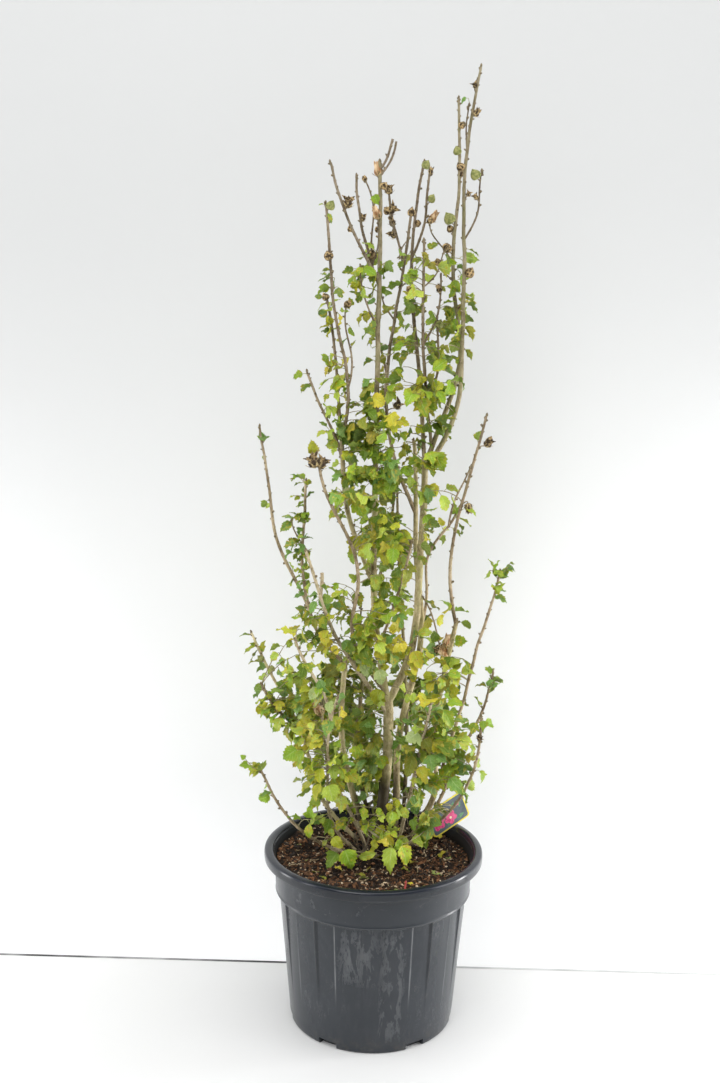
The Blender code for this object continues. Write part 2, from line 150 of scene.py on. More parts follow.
def piece(name, heap, materials, replaces=(), smooth_faces=True, sharp=None):
    verts = np.concatenate(heap.verts)
    quads = np.concatenate(heap.quads) if heap.quads else np.zeros((0, 4), np.int64)
    tris = np.concatenate(heap.tris) if heap.tris else np.zeros((0, 3), np.int64)
    mesh = bpy.data.meshes.new(name)
    mesh.vertices.add(len(verts))
    mesh.vertices.foreach_set("co", verts.astype(np.float32).ravel())
    loops = np.concatenate([quads.ravel(), tris.ravel()]).astype(np.int32)
    mesh.loops.add(len(loops))
    mesh.loops.foreach_set("vertex_index", loops)
    starts = np.concatenate([np.arange(len(quads)) * 4, len(quads) * 4 + np.arange(len(tris)) * 3]).astype(np.int32)
    mesh.polygons.add(len(starts))
    mesh.polygons.foreach_set("loop_start", starts)
    index = np.concatenate([*heap.qm, *heap.tm]).astype(np.int32)
    mesh.polygons.foreach_set("material_index", index)
    mesh.polygons.foreach_set("use_smooth", np.full(len(starts), smooth_faces))
    mesh.update(calc_edges=True)
    local = mesh.attributes.new("local", "FLOAT_VECTOR", "POINT")
    local.data.foreach_set("vector", np.concatenate(heap.local).astype(np.float32).ravel())
    for material in materials:
        mesh.materials.append(material)
    if sharp:
        mesh.set_sharp_from_angle(angle=math.radians(sharp))
    made = bpy.data.objects.new(name, mesh)
    bpy.context.scene.collection.objects.link(made)
    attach(made, "root")
    if replaces:
        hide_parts(*replaces)
    return made


def frames_along(points):
    """Tangent and two side vectors at each point of each line, points (..., n, 3)."""
    tangent = unit(np.gradient(points, axis=-2))
    overall = unit(points[..., -1, :] - points[..., 0, :])
    ref = np.zeros_like(overall)
    pick = np.abs(overall).argmin(-1)
    np.put_along_axis(ref, pick[..., None], 1.0, -1)
    side = across(np.broadcast_to(ref[..., None, :], tangent.shape), tangent)
    return tangent, side, np.cross(tangent, side)


def tubes(heap, points, radii, sides, local_seed=None, relief=None, mat=0, caps=True, turn=0.0):
    """Adds many tubes at once: points (m, n, 3), radii (m, n). relief is a share of the radius, (m, n, sides)."""
    points, radii = np.asarray(points, float), np.asarray(radii, float)
    if points.ndim == 2:
        points, radii = points[None], radii[None]
        relief = None if relief is None else relief[None]
    m, n = radii.shape
    tangent, side, other = frames_along(points)
    angle = np.arange(sides) / sides * TAU + turn
    spread = radii[..., None] * (1.0 if relief is None else 1 + relief)
    ring = points[:, :, None] + spread[..., None] * (np.cos(angle)[None, None, :, None] * side[:, :, None] + np.sin(angle)[None, None, :, None] * other[:, :, None])
    length = np.concatenate([np.zeros((m, 1)), np.cumsum(np.linalg.norm(np.diff(points, axis=1), axis=-1), axis=1)], 1)
    local = np.empty((m, n, sides, 3))
    local[..., 0] = (np.arange(sides) / sides)[None, None]
    local[..., 1] = length[..., None]
    local[..., 2] = radii[..., None] if local_seed is None else np.asarray(local_seed).reshape(-1, 1, 1)
    per = n * sides + (2 if caps else 0)
    verts = ring.reshape(m, n * sides, 3)
    loc = local.reshape(m, n * sides, 3)
    if caps:
        ends = np.stack([points[:, 0], points[:, -1]], 1)
        verts = np.concatenate([verts, ends], 1)
        loc = np.concatenate([loc, np.stack([local[:, 0, 0], local[:, -1, 0]], 1)], 1)
    i, j = np.meshgrid(np.arange(n - 1), np.arange(sides), indexing="ij")
    k = (j + 1) % sides
    quad = np.stack([i * sides + j, i * sides + k, (i + 1) * sides + k, (i + 1) * sides + j], -1).reshape(-1, 4)
    base = (np.arange(m) * per)[:, None, None]
    quads = (quad[None] + base).reshape(-1, 4)
    tris = None
    if caps:
        j = np.arange(sides)
        k = (j + 1) % sides
        low = np.stack([k, j, np.full(sides, n * sides)], -1)
        high = np.stack([(n - 1) * sides + j, (n - 1) * sides + k, np.full(sides, n * sides + 1)], -1)
        tris = (np.concatenate([low, high])[None] + base).reshape(-1, 3)
    heap.add(verts, quads, tris, loc, mat)


def stamp(heap, template, at, axis_x, axis_y, axis_z, size, local=None, mat=0):
    """Adds a small template mesh (verts, quads, tris) once for each place. size is (m,) or (m, 3)."""
    verts, quads, tris = template
    m, n = len(at), len(verts)
    if not m:
        return
    size = np.asarray(size, float)
    size = np.repeat(size[:, None], 3, 1) if size.ndim == 1 else size
    v = verts[None] * size[:, None]
    world = at[:, None] + v[..., 0:1] * axis_x[:, None] + v[..., 1:2] * axis_y[:, None] + v[..., 2:3] * axis_z[:, None]
    loc = np.zeros((m, n, 3))
    loc[..., 0], loc[..., 1] = verts[None, :, 0], verts[None, :, 2]
    loc[..., 2] = (np.zeros(m) if local is None else np.asarray(local))[:, None]
    base = (np.arange(m) * n)[:, None, None]
    q = None if quads is None or not len(quads) else (np.asarray(quads)[None] + base).reshape(-1, 4)
    t = None if tris is None or not len(tris) else (np.asarray(tris)[None] + base).reshape(-1, 3)
    heap.add(world, q, t, loc, mat)


def upright(axis, source):
    """Two side vectors for each axis, turned at random about it."""
    m = len(axis)
    side = across(unit(source.normal(size=(m, 3))), axis)
    return side, np.cross(axis, side)


# ---------------------------------------------------------------- materials


class Nodes:
    """Short names for the nodes of one material."""

    def __init__(self, name, roughness=0.5, specular=0.5):
        self.material = bpy.data.materials.new(name)
        self.material.use_nodes = True
        self.tree = self.material.node_tree
        self.shader = self.tree.nodes["Principled BSDF"]
        self.shader.inputs["Roughness"].default_value = roughness
        self.shader.inputs["Specular IOR Level"].default_value = specular
        self._place = self._local = None

    def new(self, kind, **settings):
        made = self.tree.nodes.new(kind)
        for key, value in settings.items():
            setattr(made, key, value)
        return made

    def join(self, source, target):
        self.tree.links.new(source, target)

    def put(self, value, target):
        if isinstance(value, bpy.types.NodeSocket):
            self.join(value, target)
        elif value is not None:
            target.default_value = value

    @property
    def place(self):
        if self._place is None:
            self._place = self.new("ShaderNodeTexCoord").outputs["Object"]
        return self._place

    @property
    def local(self):
        if self._local is None:
            split = self.new("ShaderNodeSeparateXYZ")
            self.join(self.new("ShaderNodeAttribute", attribute_name="local").outputs["Vector"], split.inputs[0])
            self._local = split.outputs
        return self._local

    def math(self, kind, a, b=None, c=None, clamp=False):
        made = self.new("ShaderNodeMath", operation=kind, use_clamp=clamp)
        for socket, value in zip(made.inputs, (a, b, c)):
            self.put(value, socket)
        return made.outputs[0]

    def scaled(self, vector, scale):
        made = self.new("ShaderNodeMapping")
        self.join(vector, made.inputs["Vector"])
        made.inputs["Scale"].default_value = scale
        return made.outputs[0]

    def vector(self, x, y, z):
        made = self.new("ShaderNodeCombineXYZ")
        for socket, value in zip(made.inputs, (x, y, z)):
            self.put(value, socket)
        return made.outputs[0]

    def noise(self, scale, detail=3.0, rough=0.55, vector=None, distortion=0.0):
        made = self.new("ShaderNodeTexNoise")
        self.join(self.place if vector is None else vector, made.inputs["Vector"])
        made.inputs["Scale"].default_value = scale
        made.inputs["Detail"].default_value = detail
        made.inputs["Roughness"].default_value = rough
        made.inputs["Distortion"].default_value = distortion
        return made.outputs["Fac"]

    def cells(self, scale, vector=None, feature="F1", randomness=1.0):
        made = self.new("ShaderNodeTexVoronoi", feature=feature)
        self.join(self.place if vector is None else vector, made.inputs["Vector"])
        made.inputs["Scale"].default_value = scale
        made.inputs["Randomness"].default_value = randomness
        return made.outputs["Distance"]

    def between(self, value, low, high, out_low=0.0, out_high=1.0):
        made = self.new("ShaderNodeMapRange", interpolation_type="SMOOTHSTEP")
        self.put(value, made.inputs["Value"])
        for key, number in (("From Min", low), ("From Max", high), ("To Min", out_low), ("To Max", out_high)):
            made.inputs[key].default_value = number
        return made.outputs["Result"]

    def mix(self, share, a, b, blend="MIX"):
        made = self.new("ShaderNodeMix", data_type="RGBA", blend_type=blend)
        made.clamp_factor = True
        self.put(share, made.inputs[0])
        for socket, value in ((made.inputs[6], a), (made.inputs[7], b)):
            self.put(value if isinstance(value, bpy.types.NodeSocket) else (*value, 1.0), socket)
        return made.outputs[2]

    def ramp(self, value, stops):
        made = self.new("ShaderNodeValToRGB")
        self.put(value, made.inputs[0])
        band = made.color_ramp
        while len(band.elements) < len(stops):
            band.elements.new(0.5)
        for element, (place, colour) in zip(band.elements, stops):
            element.position = place
            element.color = (*colour, 1.0)
        return made.outputs[0]

    def bump(self, height, strength, distance):
        made = self.new("ShaderNodeBump")
        self.put(height, made.inputs["Height"])
        made.inputs["Strength"].default_value = strength
        made.inputs["Distance"].default_value = distance
        self.join(made.outputs[0], self.shader.inputs["Normal"])

    def colour(self, value):
        self.put(value if isinstance(value, bpy.types.NodeSocket) else (*value, 1.0), self.shader.inputs["Base Color"])

    def rough(self, value):
        self.put(value, self.shader.inputs["Roughness"])


def leaf_material(name, base, edge, vein, roughness=0.5, blotch=(0.30, 0.17, 0.05), blotch_from=0.74, under=False):
    n = Nodes(name, roughness, 0.30)
    u, s, w = n.local
    away = n.math("ABSOLUTE", u)
    fan = n.math("PINGPONG", n.math("MULTIPLY", n.math("SUBTRACT", s, n.math("MULTIPLY", away, 0.42)), 5.2), 0.5)
    side_vein = n.math("MULTIPLY", n.between(fan, 0.10, 0.02), n.between(away, 0.98, 0.75))
    midrib = n.between(away, 0.10, 0.03)
    veins = n.math("MAXIMUM", midrib, n.math("MULTIPLY", side_vein, 0.75))
    own = n.vector(n.math("MULTIPLY", u, 0.45), s, n.math("MULTIPLY", w, 37.0))
    patches = n.noise(2.3, 1.5, 0.6, own)
    fine = n.noise(420.0, 1.0, 0.6)
    reach = n.math("ADD", n.math("MULTIPLY", n.math("POWER", away, 2.0), 0.38), n.math("MULTIPLY", patches, 0.75))
    reach = n.math("ADD", reach, n.math("MULTIPLY", w, 0.30))
    tint = n.mix(n.between(reach, 0.38, 1.02), base, edge)
    fade = n.math("ADD", n.noise(3.4, 2.0, 0.62, own), n.math("MULTIPLY", w, 0.24))
    tint = n.mix(n.math("MULTIPLY", n.between(fade, 0.70, 0.80), 0.75), tint, (0.560, 0.440, 0.035))
    tint = n.mix(n.math("MULTIPLY", veins, 0.66), tint, vein)
    spots = n.math("MULTIPLY", n.between(n.noise(5.5, 2.0, 0.65, own), 0.60, 0.70), n.between(w, blotch_from, blotch_from + 0.16))
    tint = n.mix(n.math("MULTIPLY", spots, 0.7), tint, blotch)
    tint = n.mix(n.between(fine, 0.30, 0.75), n.mix(0.82, (0.0, 0.0, 0.0), tint), tint)
    level = n.between(n.math("FRACT", n.math("MULTIPLY", w, 7.31)), 0.0, 1.0, 0.80, 1.12)
    tint = n.mix(1.0, tint, n.vector(level, level, level), "MULTIPLY")
    n.colour(tint)
    gloss = n.math("MULTIPLY", n.math("FRACT", n.math("MULTIPLY", w, 13.7)), 0.16)
    n.rough(n.math("ADD", n.math("ADD", n.math("MULTIPLY", fine, 0.20), gloss), roughness - 0.16))
    height = n.math("SUBTRACT", n.math("MULTIPLY", fine, 0.35), n.math("MULTIPLY", veins, -1.0 if under else 1.0))
    n.bump(height, 0.75, 0.0007)
    return n.material


def bark_material(name, dark, middle, light, moss=0.0, stretch=0.45, scale=190.0, roughness=0.80, low_gain=1.0, low=(0.85, 1.35), foot=None):
    n = Nodes(name, roughness, 0.3)
    grain = n.noise(scale, 3.0, 0.68, n.scaled(n.place, (1.0, 1.0, stretch)), 0.3)
    streak = n.noise(scale * 2.2, 1.0, 0.6, n.scaled(n.place, (1.0, 1.0, stretch * 0.5)))
    wide = n.noise(26.0, 2.0, 0.62, n.scaled(n.place, (1.0, 1.0, 0.6)))
    tint = n.ramp(n.math("ADD", n.math("MULTIPLY", grain, 0.45), n.math("MULTIPLY", wide, 0.55)), [(0.36, dark), (0.48, middle), (0.64, light)])
    tint = n.mix(n.math("MULTIPLY", n.between(streak, 0.60, 0.74), 0.45), tint, light)
    specks = n.between(n.cells(420.0, n.scaled(n.place, (1.0, 1.0, 1.4))), 0.20, 0.12)
    tint = n.mix(n.math("MULTIPLY", specks, 0.55), tint, tuple(min(1.0, 1.40 * c) for c in light))
    pits = n.between(n.cells(250.0, n.scaled(n.place, (1.0, 1.0, 2.2))), 0.20, 0.12)
    tint = n.mix(n.math("MULTIPLY", pits, 0.65), tint, dark)
    if moss:
        green = n.math("MULTIPLY", n.between(n.noise(34.0, 2.0, 0.65), 0.42, 0.66), moss)
        tint = n.mix(green, tint, tuple(0.62 * m + 0.38 * l for m, l in zip(middle, (0.20, 0.26, 0.05))))
    split = n.new("ShaderNodeSeparateXYZ")
    n.join(n.place, split.inputs[0])
    if low_gain != 1.0:
        share = n.between(split.outputs["Z"], low[0], low[1], 1.0, 0.0)
        paler = n.mix(1.0, tint, (low_gain, low_gain * 0.985, low_gain * 0.93), "MULTIPLY")
        tint = n.mix(share, tint, paler)
    if foot:
        # painted shade round the foot of the trunk, over bark that is darker there too
        foot_shade = n.between(n.math("ADD", split.outputs["Z"], n.math("MULTIPLY", wide, 0.05)), 0.455, 0.520, 1.0, 0.0)
        gap = n.math("ADD", n.math("POWER", n.math("ABSOLUTE", n.math("ADD", split.outputs["X"], -0.004)), 2.0), n.math("POWER", n.math("ABSOLUTE", n.math("ADD", split.outputs["Y"], -0.096)), 2.0))
        near = n.between(gap, 0.0009, 0.0030, 1.0, 0.0)
        tint = n.mix(n.math("MULTIPLY", n.math("MULTIPLY", foot_shade, near), 0.95), tint, foot)
    n.colour(tint)
    n.rough(n.between(grain, 0.3, 0.7, roughness + 0.08, roughness - 0.10))
    n.bump(n.math("ADD", grain, n.math("MULTIPLY", streak, 0.4)), 0.7, 0.0008)
    return n.material


def plain_material(name, a, b, roughness=0.7, scale=120.0, bump=0.4, distance=0.0008, stretch=1.0, detail=4.0, specular=0.35, low=0.36, high=0.64):
    """Two colours mottled by noise, with the same noise as relief."""
    n = Nodes(name, roughness, specular)
    grain = n.noise(scale, detail, 0.6, n.scaled(n.place, (1.0, 1.0, stretch)))
    n.colour(n.mix(n.between(grain, low, high), a, b))
    n.rough(n.between(grain, 0.3, 0.7, roughness + 0.07, roughness - 0.07))
    n.bump(grain, bump, distance)
    return n.material


# ---------------------------------------------------------------- camera, stage and light

PITCH, ROLL = math.radians(8.795), math.radians(0.908)


def build_camera():
    data = bpy.data.cameras.new("camera")
    data.sensor_fit = "AUTO"
    data.sensor_width = 36.0
    data.lens = 1203.0 / 1083.0 * 36.0
    data.clip_start, data.clip_end = 0.05, 40.0
    made = bpy.data.objects.new("camera", data)
    bpy.context.scene.collection.objects.link(made)
    ahead = Vector((0, math.cos(PITCH), -math.sin(PITCH)))
    above = Vector((0, math.sin(PITCH), math.cos(PITCH)))
    right = Vector((1, 0, 0))
    x = math.cos(ROLL) * right + math.sin(ROLL) * above
    y = -math.sin(ROLL) * right + math.cos(ROLL) * above
    place = Matrix((x, y, -ahead)).transposed().to_4x4()
    place.translation = Vector((-0.0363, -2.2599, 1.3043))
    made.matrix_world = place
    bpy.context.scene.camera = made


def area_light(name, place, towards, size, power, colour=(1, 1, 1), spread=None):
    data = bpy.data.lights.new(name, "AREA")
    data.shape = "RECTANGLE"
    data.size, data.size_y = size
    data.energy = power
    data.color = colour
    if spread:
        data.spread = math.radians(spread)
    made = bpy.data.objects.new(name, data)
    bpy.context.scene.collection.objects.link(made)
    made.location = place
    made.rotation_euler = (Vector(towards) - Vector(place)).to_track_quat("-Z", "Y").to_euler()
    return made


def build_stage():
    scene = bpy.context.scene
    world = bpy.data.worlds.new("studio")
    world.use_nodes = True
    tree = world.node_tree
    back = tree.nodes["Background"]
    back.inputs["Color"].default_value = (0.975, 0.99, 1.0, 1.0)
    # a dim room in front, bright screens at the sides and overhead
    split = tree.nodes.new("ShaderNodeSeparateXYZ")
    tree.links.new(tree.nodes.new("ShaderNodeTexCoord").outputs["Generated"], split.inputs[0])
    shares = []
    for socket, low, high, a, b in ((split.outputs["Y"], -0.80, -0.30, 0.26, 1.0), (split.outputs["Z"], 0.15, 0.75, 0.26, 1.0)):
        ramp = tree.nodes.new("ShaderNodeMapRange")
        ramp.interpolation_type = "SMOOTHSTEP"
        tree.links.new(socket, ramp.inputs["Value"])
        for key, number in (("From Min", low), ("From Max", high), ("To Min", a), ("To Max", b)):
            ramp.inputs[key].default_value = number
        shares.append(ramp.outputs["Result"])
    most = tree.nodes.new("ShaderNodeMath")
    most.operation = "MAXIMUM"
    tree.links.new(shares[0], most.inputs[0])
    tree.links.new(shares[1], most.inputs[1])
    level = tree.nodes.new("ShaderNodeMath")
    level.operation = "MULTIPLY"
    tree.links.new(most.outputs[0], level.inputs[0])
    level.inputs[1].default_value = 0.86
    tree.links.new(level.outputs[0], back.inputs["Strength"])
    scene.world = world
    scene.view_settings.view_transform = "Standard"
    scene.view_settings.look = "None"
    scene.view_settings.exposure = 0.0
    scene.view_settings.gamma = 1.0

    n = Nodes("floor_paint", 0.55, 0.3)
    n.colour(n.mix(n.between(n.noise(1.4, 2.0, 0.5), 0.3, 0.7), (0.700, 0.700, 0.697), (0.720, 0.720, 0.717)))
    mesh = bpy.data.meshes.new("floor")
    mesh.from_pydata([(-9, -9, 0), (9, -9, 0), (9, -0.055, 0), (-9, 0.402, 0)], [], [(0, 1, 2, 3)])
    mesh.materials.append(n.material)
    ground = bpy.data.objects.new("floor", mesh)
    scene.collection.objects.link(ground)

    n = Nodes("wall_paint", 0.7, 0.2)
    fold = n.noise(1.1, 2.0, 0.5, n.scaled(n.place, (0.4, 1.0, 2.2)))
    split = n.new("ShaderNodeSeparateXYZ")
    n.join(n.place, split.inputs[0])
    # painted light on the backdrop: paler towards the floor, where shade falls on it, and darker towards the top
    painted_lift = n.mix(n.between(split.outputs["Z"], 0.10, 1.70), (0.815, 0.820, 0.820), (0.594, 0.599, 0.599))
    n.colour(n.mix(n.between(fold, 0.3, 0.7, 0.0, 0.06), painted_lift, (0.682, 0.691, 0.691)))
    # the foot of the backdrop glows: painted light that lifts the shade there
    n.shader.inputs["Emission Color"].default_value = (1.0, 1.0, 1.0, 1.0)
    n.join(n.between(split.outputs["Z"], 0.35, -0.10, 0.0, 0.26), n.shader.inputs["Emission Strength"])
    mesh = bpy.data.meshes.new("backdrop")
    mesh.from_pydata([(-2.6, 0.46, -0.45), (2.6, 0.40, -0.45), (2.6, 0.44, 3.2), (-2.6, 0.50, 3.2)], [], [(0, 1, 2, 3)])
    mesh.materials.append(n.material)
    wall = bpy.data.objects.new("backdrop", mesh)
    scene.collection.objects.link(wall)

    # the board's far edge
    n = Nodes("board_edge", 0.9, 0.1)
    split = n.new("ShaderNodeSeparateXYZ")
    n.join(n.place, split.inputs[0])
    # a dark line along the board's far edge, darker towards the left
    dark_line = n.math("MULTIPLY", n.between(split.outputs["X"], -0.10, 0.20, 1.0, 0.45), n.between(n.noise(5.0, 3.0, 0.6), 0.35, 0.6, 0.55, 1.0))
    n.colour(n.mix(dark_line, (0.80, 0.80, 0.80), (0.08, 0.08, 0.08)))
    mesh = bpy.data.meshes.new("board_edge")
    mesh.from_pydata([(-3.0, 0.2477, 0.0004), (3.0, 0.0953, 0.0004), (3.0, 0.0985, 0.0030), (-3.0, 0.2509, 0.0030)], [], [(0, 1, 2, 3)])
    mesh.materials.append(n.material)
    rim = bpy.data.objects.new("board_edge", mesh)
    scene.collection.objects.link(rim)

    area_light("sky_panel", (-0.15, -1.3, 3.7), (0, 0.0, 0.7), (3.4, 2.4), 50.0, (1.0, 0.995, 0.98))
    area_light("front_panel", (-1.3, -3.4, 2.7), (0, 0.1, 0.7), (2.2, 1.6), 38.0, (1.0, 1.0, 1.0))
    area_light("right_panel", (2.5, -0.75, 1.1), (0, 0.05, 0.7), (0.9, 2.2), 20.0, (1.0, 1.0, 1.0))
    area_light("edge_panel", (1.45, 0.05, 0.35), (0.15, 0.0, 0.22), (0.30, 1.0), 15.0, (1.0, 1.0, 1.0))
    area_light("edge_panel_left", (-1.50, 0.05, 0.35), (-0.15, 0.0, 0.22), (0.30, 1.0), 6.5, (1.0, 1.0, 1.0))
    area_light("left_panel", (-2.4, -1.0, 1.1), (0, 0.05, 0.7), (0.5, 2.2), 10.0, (1.0, 1.0, 1.0))


# ---------------------------------------------------------------- limbs

# name, what it grows from and how far up that (None and a foot on the compost), tip, bow, sway (x, z), ripples (x), radius at foot, radius at tip
LIMBS = [
    ("trunk", None, (10, 87), (24, 60, 627), (7, 0, 0), (-1, 0), (), 11.5, 8.6),
    ("stem_back", None, (43, 88), (67, 130, 1140), (23, 15, -2), (-7, 1), (-8, 0, 4), 7.5, 3.0),
    ("stem_left", None, (-10, 112), (-63, 125, 691), (-28, 10, -5), (-1, -1), (), 7.0, 4.2),
    ("stem_dark", None, (2, 128), (34, 160, 1069), (-40, 30, -2), (-15, -1), (-2, -4), 4.4, 1.6),
    ("stem_rear", None, (61, 131), (38, 195, 1057), (10, 20, -2), (5, 0), (), 4.2, 1.6),
    ("stem_right", None, (82, 137), (157, 60, 792), (9, -13, -7), (15, -4), (7, 1), 5.0, 3.6),
    ("stem_right_long", None, (65, 68), (228, -30, 907), (19, 2, -8), (8, -3), (5, 3, 3), 4.0, 1.5),
    ("stem_right_rear", None, (88, 90), (250, 220, 647), (14, 20, -14), (-2, -1), (5,), 3.8, 1.5),
    ("stem_right_low", None, (58, 33), (193, -110, 649), (43, 0, -18), (-2, -2), (), 3.4, 1.5),
    ("stem_front_right", None, (51, 63), (101, -80, 661), (1, 2, 1), (0, 0), (), 3.4, 1.5),
    ("stem_left_long", None, (-35, 85), (-251, 90, 754), (-9, 0, -8), (-10, -6), (-8,), 4.6, 1.5),
    ("stem_front_left", None, (-35, 24), (-106, -30, 643), (-25, -9, -12), (-11, -4), (-3,), 3.4, 1.5),
    ("stem_front_tan", None, (-14, 35), (-72, -140, 691), (-33, -11, -8), (9, 1), (), 3.6, 1.6),
    ("stem_left_low", None, (-22, -9), (-220, -60, 522), (-27, 0, -28), (1, -3), (), 3.2, 1.5),
    ("leader_left", "trunk", 0.98, (-11, 40, 1659), (-18, -5, -2), (-9, -1), (-3, -2), 7.0, 2.4),
    ("leader_right", "trunk", 0.98, (88, 80, 1099), (28, 10, -7), (8, -3), (3,), 7.4, 5.4),
    ("leader_right_top", "leader_right", 0.98, (137, 115, 1788), (34, 12, -8), (14, -2), (6, -4, -3), 5.0, 1.5),
    ("shoot_tall", "leader_right", 0.97, (171, 45, 1830), (25, -11, -10), (23, -5), (5, 4, 2), 5.0, 1.5),
    ("shoot_middle", "leader_right", 0.92, (76, 150, 1677), (-20, 0, 1), (8, 0), (), 4.2, 1.6),
    ("shoot_middle_front", "leader_right_top", 0.06, (74, 45, 1519), (-9, -7, -2), (-1, 0), (), 3.4, 1.5),
    ("shoot_middle_side", "shoot_middle", 0.70, (86, 110, 1655), (9, 0, -2), (2, -1), (), 2.6, 1.5),
    ("bough_middle", "stem_back", 0.82, (52, 85, 1579), (-51, 1, -5), (-11, -2), (), 3.9, 1.6),
    ("shoot_middle_left", "bough_middle", 0.82, (9, 125, 1622), (-4, 0, 0), (2, 0), (), 2.4, 1.5),
    ("shoot_top_left", "leader_left", 0.79, (-101, -5, 1649), (-8, 0, -4), (1, 0), (), 3.0, 1.5),
    ("shoot_top_left_rear", "leader_left", 0.78, (-54, 95, 1641), (-9, 0, -2), (1, 0), (), 2.8, 1.4),
    ("bough_left", "leader_left", 0.23, (-75, 20, 1151), (-16, -9, -5), (1, 0), (1,), 4.8, 3.4),
    ("bough_left_top", "bough_left", 0.98, (-108, -15, 1576), (11, -8, -2), (9, 0), (4,), 3.2, 1.6),
    ("shoot_left_rear", "bough_left", 0.93, (-108, 60, 1414), (5, 0, 1), (-2, 0), (), 3.0, 1.5),
    ("shoot_left_side", "bough_left", 0.84, (-142, 50, 1273), (2, 0, 1), (3, 1), (), 2.6, 1.5),
    ("bough_left_front", "leader_left", 0.02, (-114, -60, 1114), (-3, -29, -12), (-19, -4), (-10, 6), 4.2, 1.8),
    ("bough_front", "trunk", 0.89, (-134, -115, 955), (-19, 3, -7), (2, 0), (2,), 4.4, 1.7),
    ("bough_outer_left", "stem_left", 0.98, (-240, 150, 1162), (-39, 0, -19), (-2, -3), (-1, -5, -3), 4.0, 1.5),
    ("shoot_left_spire", "bough_outer_left", 0.24, (-141, 30, 1067), (-12, 1, 0), (-3, 0), (), 3.4, 1.5),
    ("shoot_centre", "leader_left", 0.11, (62, -20, 962), (4, 0, -1), (0, 0), (), 3.0, 1.5),
    ("bough_right", "stem_right", 0.98, (198, 10, 1197), (-28, -9, 0), (-6, -1), (), 3.5, 1.5),
    ("shoot_right_inner", "stem_back", 0.48, (169, 180, 1006), (-27, 0, 11), (6, -1), (3, -4), 3.2, 1.6),
    ("shoot_left_low", "stem_left_long", 0.55, (-220, -40, 685), (-9, 0, -4), (0, 0), (), 2.6, 1.5),
    ("shoot_left_front", "stem_front_tan", 0.86, (-151, -145, 797), (6, 0, 2), (4, 1), (), 2.8, 1.5),
]

# Side twigs that are too thin for the CAD: name, what each grows from and where, tip, radius at foot, radius at tip
TWIGS = [
    ("cut_tip", "leader_left", 0.985, (12, 32, 1697), 2.4, 2.1),
    ("cut_tip_side", "leader_left", 0.975, (18, 33, 1693), 2.1, 1.9),
    ("tall_side", "shoot_tall", 0.593, (179, 59, 1647), 2.1, 1.2),
    ("tall_spur", "shoot_tall", 0.800, (152, 58, 1764), 1.6, 1.1),
    ("left_inner", "shoot_top_left_rear", 0.225, (-40, 67, 1632), 2.0, 1.2),
    ("left_short", "shoot_top_left_rear", 0.203, (-13, 38, 1566), 1.6, 1.1),
    ("left_lower", "leader_left", 0.708, (-44, 22, 1468), 2.0, 1.1),
    ("middle_fork", "bough_middle", 0.468, (-3, 122, 1430), 2.4, 1.3),
    ("middle_cross", "bough_middle", 0.652, (-4, 92, 1429), 2.0, 1.2),
    ("left_third", "bough_left_top", 0.233, (-69, 27, 1400), 1.9, 1.2),
    ("right_inner_up", "shoot_right_inner", 0.838, (183, 141, 1089), 2.2, 1.2),
    ("back_side", "stem_back", 0.625, (131, 73, 717), 1.7, 1.2),
    ("dark_side", "stem_dark", 0.443, (-32, 132, 802), 2.0, 1.4),
    ("front_stub", "bough_front", 0.743, (-106, -63, 904), 3.2, 3.0),
    ("left_long_side", "stem_left_long", 0.650, (-177, 98, 650), 1.4, 1.0),
    ("right_stub", "stem_right", 0.045, (86, 112, 464), 2.4, 2.2),
    ("spire_side", "shoot_left_spire", 0.532, (-170, 64, 985), 1.5, 1.0),
    ("front_side", "shoot_middle_front", 0.215, (105, 86, 1377), 2.6, 1.8),
    ("front_inner", "shoot_middle_front", 0.510, (109, 67, 1457), 2.2, 1.5),
    ("top_inner", "leader_right_top", 0.575, (87, 96, 1559), 1.5, 1.0),
    ("top_low", "leader_right_top", 0.527, (103, 97, 1483), 1.5, 1.0),
    ("front_high", "shoot_middle_front", 0.782, (116, 57, 1508), 1.5, 1.0),
    ("middle_left_side", "shoot_middle_left", 0.345, (13, 99, 1556), 1.5, 1.1),
    ("middle_stub", "bough_middle", 0.905, (29, 82, 1485), 1.3, 1.0),
]

SOIL_TOP = 0.326
OLD_BARK = {"trunk", "stem_back", "stem_left", "leader_left", "leader_right", "leader_right_top", "shoot_tall", "stem_right", "stem_left_long", "bough_left"}
DARK_BARK = {"stem_dark", "stem_rear", "dark_side"}
TAN_BARK = {"stem_front_tan", "stem_front_left", "stem_front_right", "shoot_left_front", "bough_front", "front_stub", "right_stub"}


def limb_line(limb, t):
    """The centre line at shares t of its length."""
    t = np.asarray(t, float)[..., None]
    line = limb["foot"] + (limb["tip"] - limb["foot"]) * t + limb["bow"] * np.sin(np.pi * t) + limb["sway"] * np.sin(2 * np.pi * t)
    for index, size in enumerate(limb["ripples"]):
        line = line + np.array([size, 0, 0]) * np.sin((3 + index) * np.pi * t)
    return line


def limb_radius(limb, t):
    t = np.asarray(t, float)
    thin = limb["thin"] + (0.00015 if limb["extra"] else 0.00075)
    radius = thin + (max(limb["thick"], thin) - thin) * (1 - np.clip(t, 0, 1)) ** 0.85
    if limb["name"] == "trunk":
        radius = radius + 2.6 * MM * np.exp(-t / 0.07)
    return radius


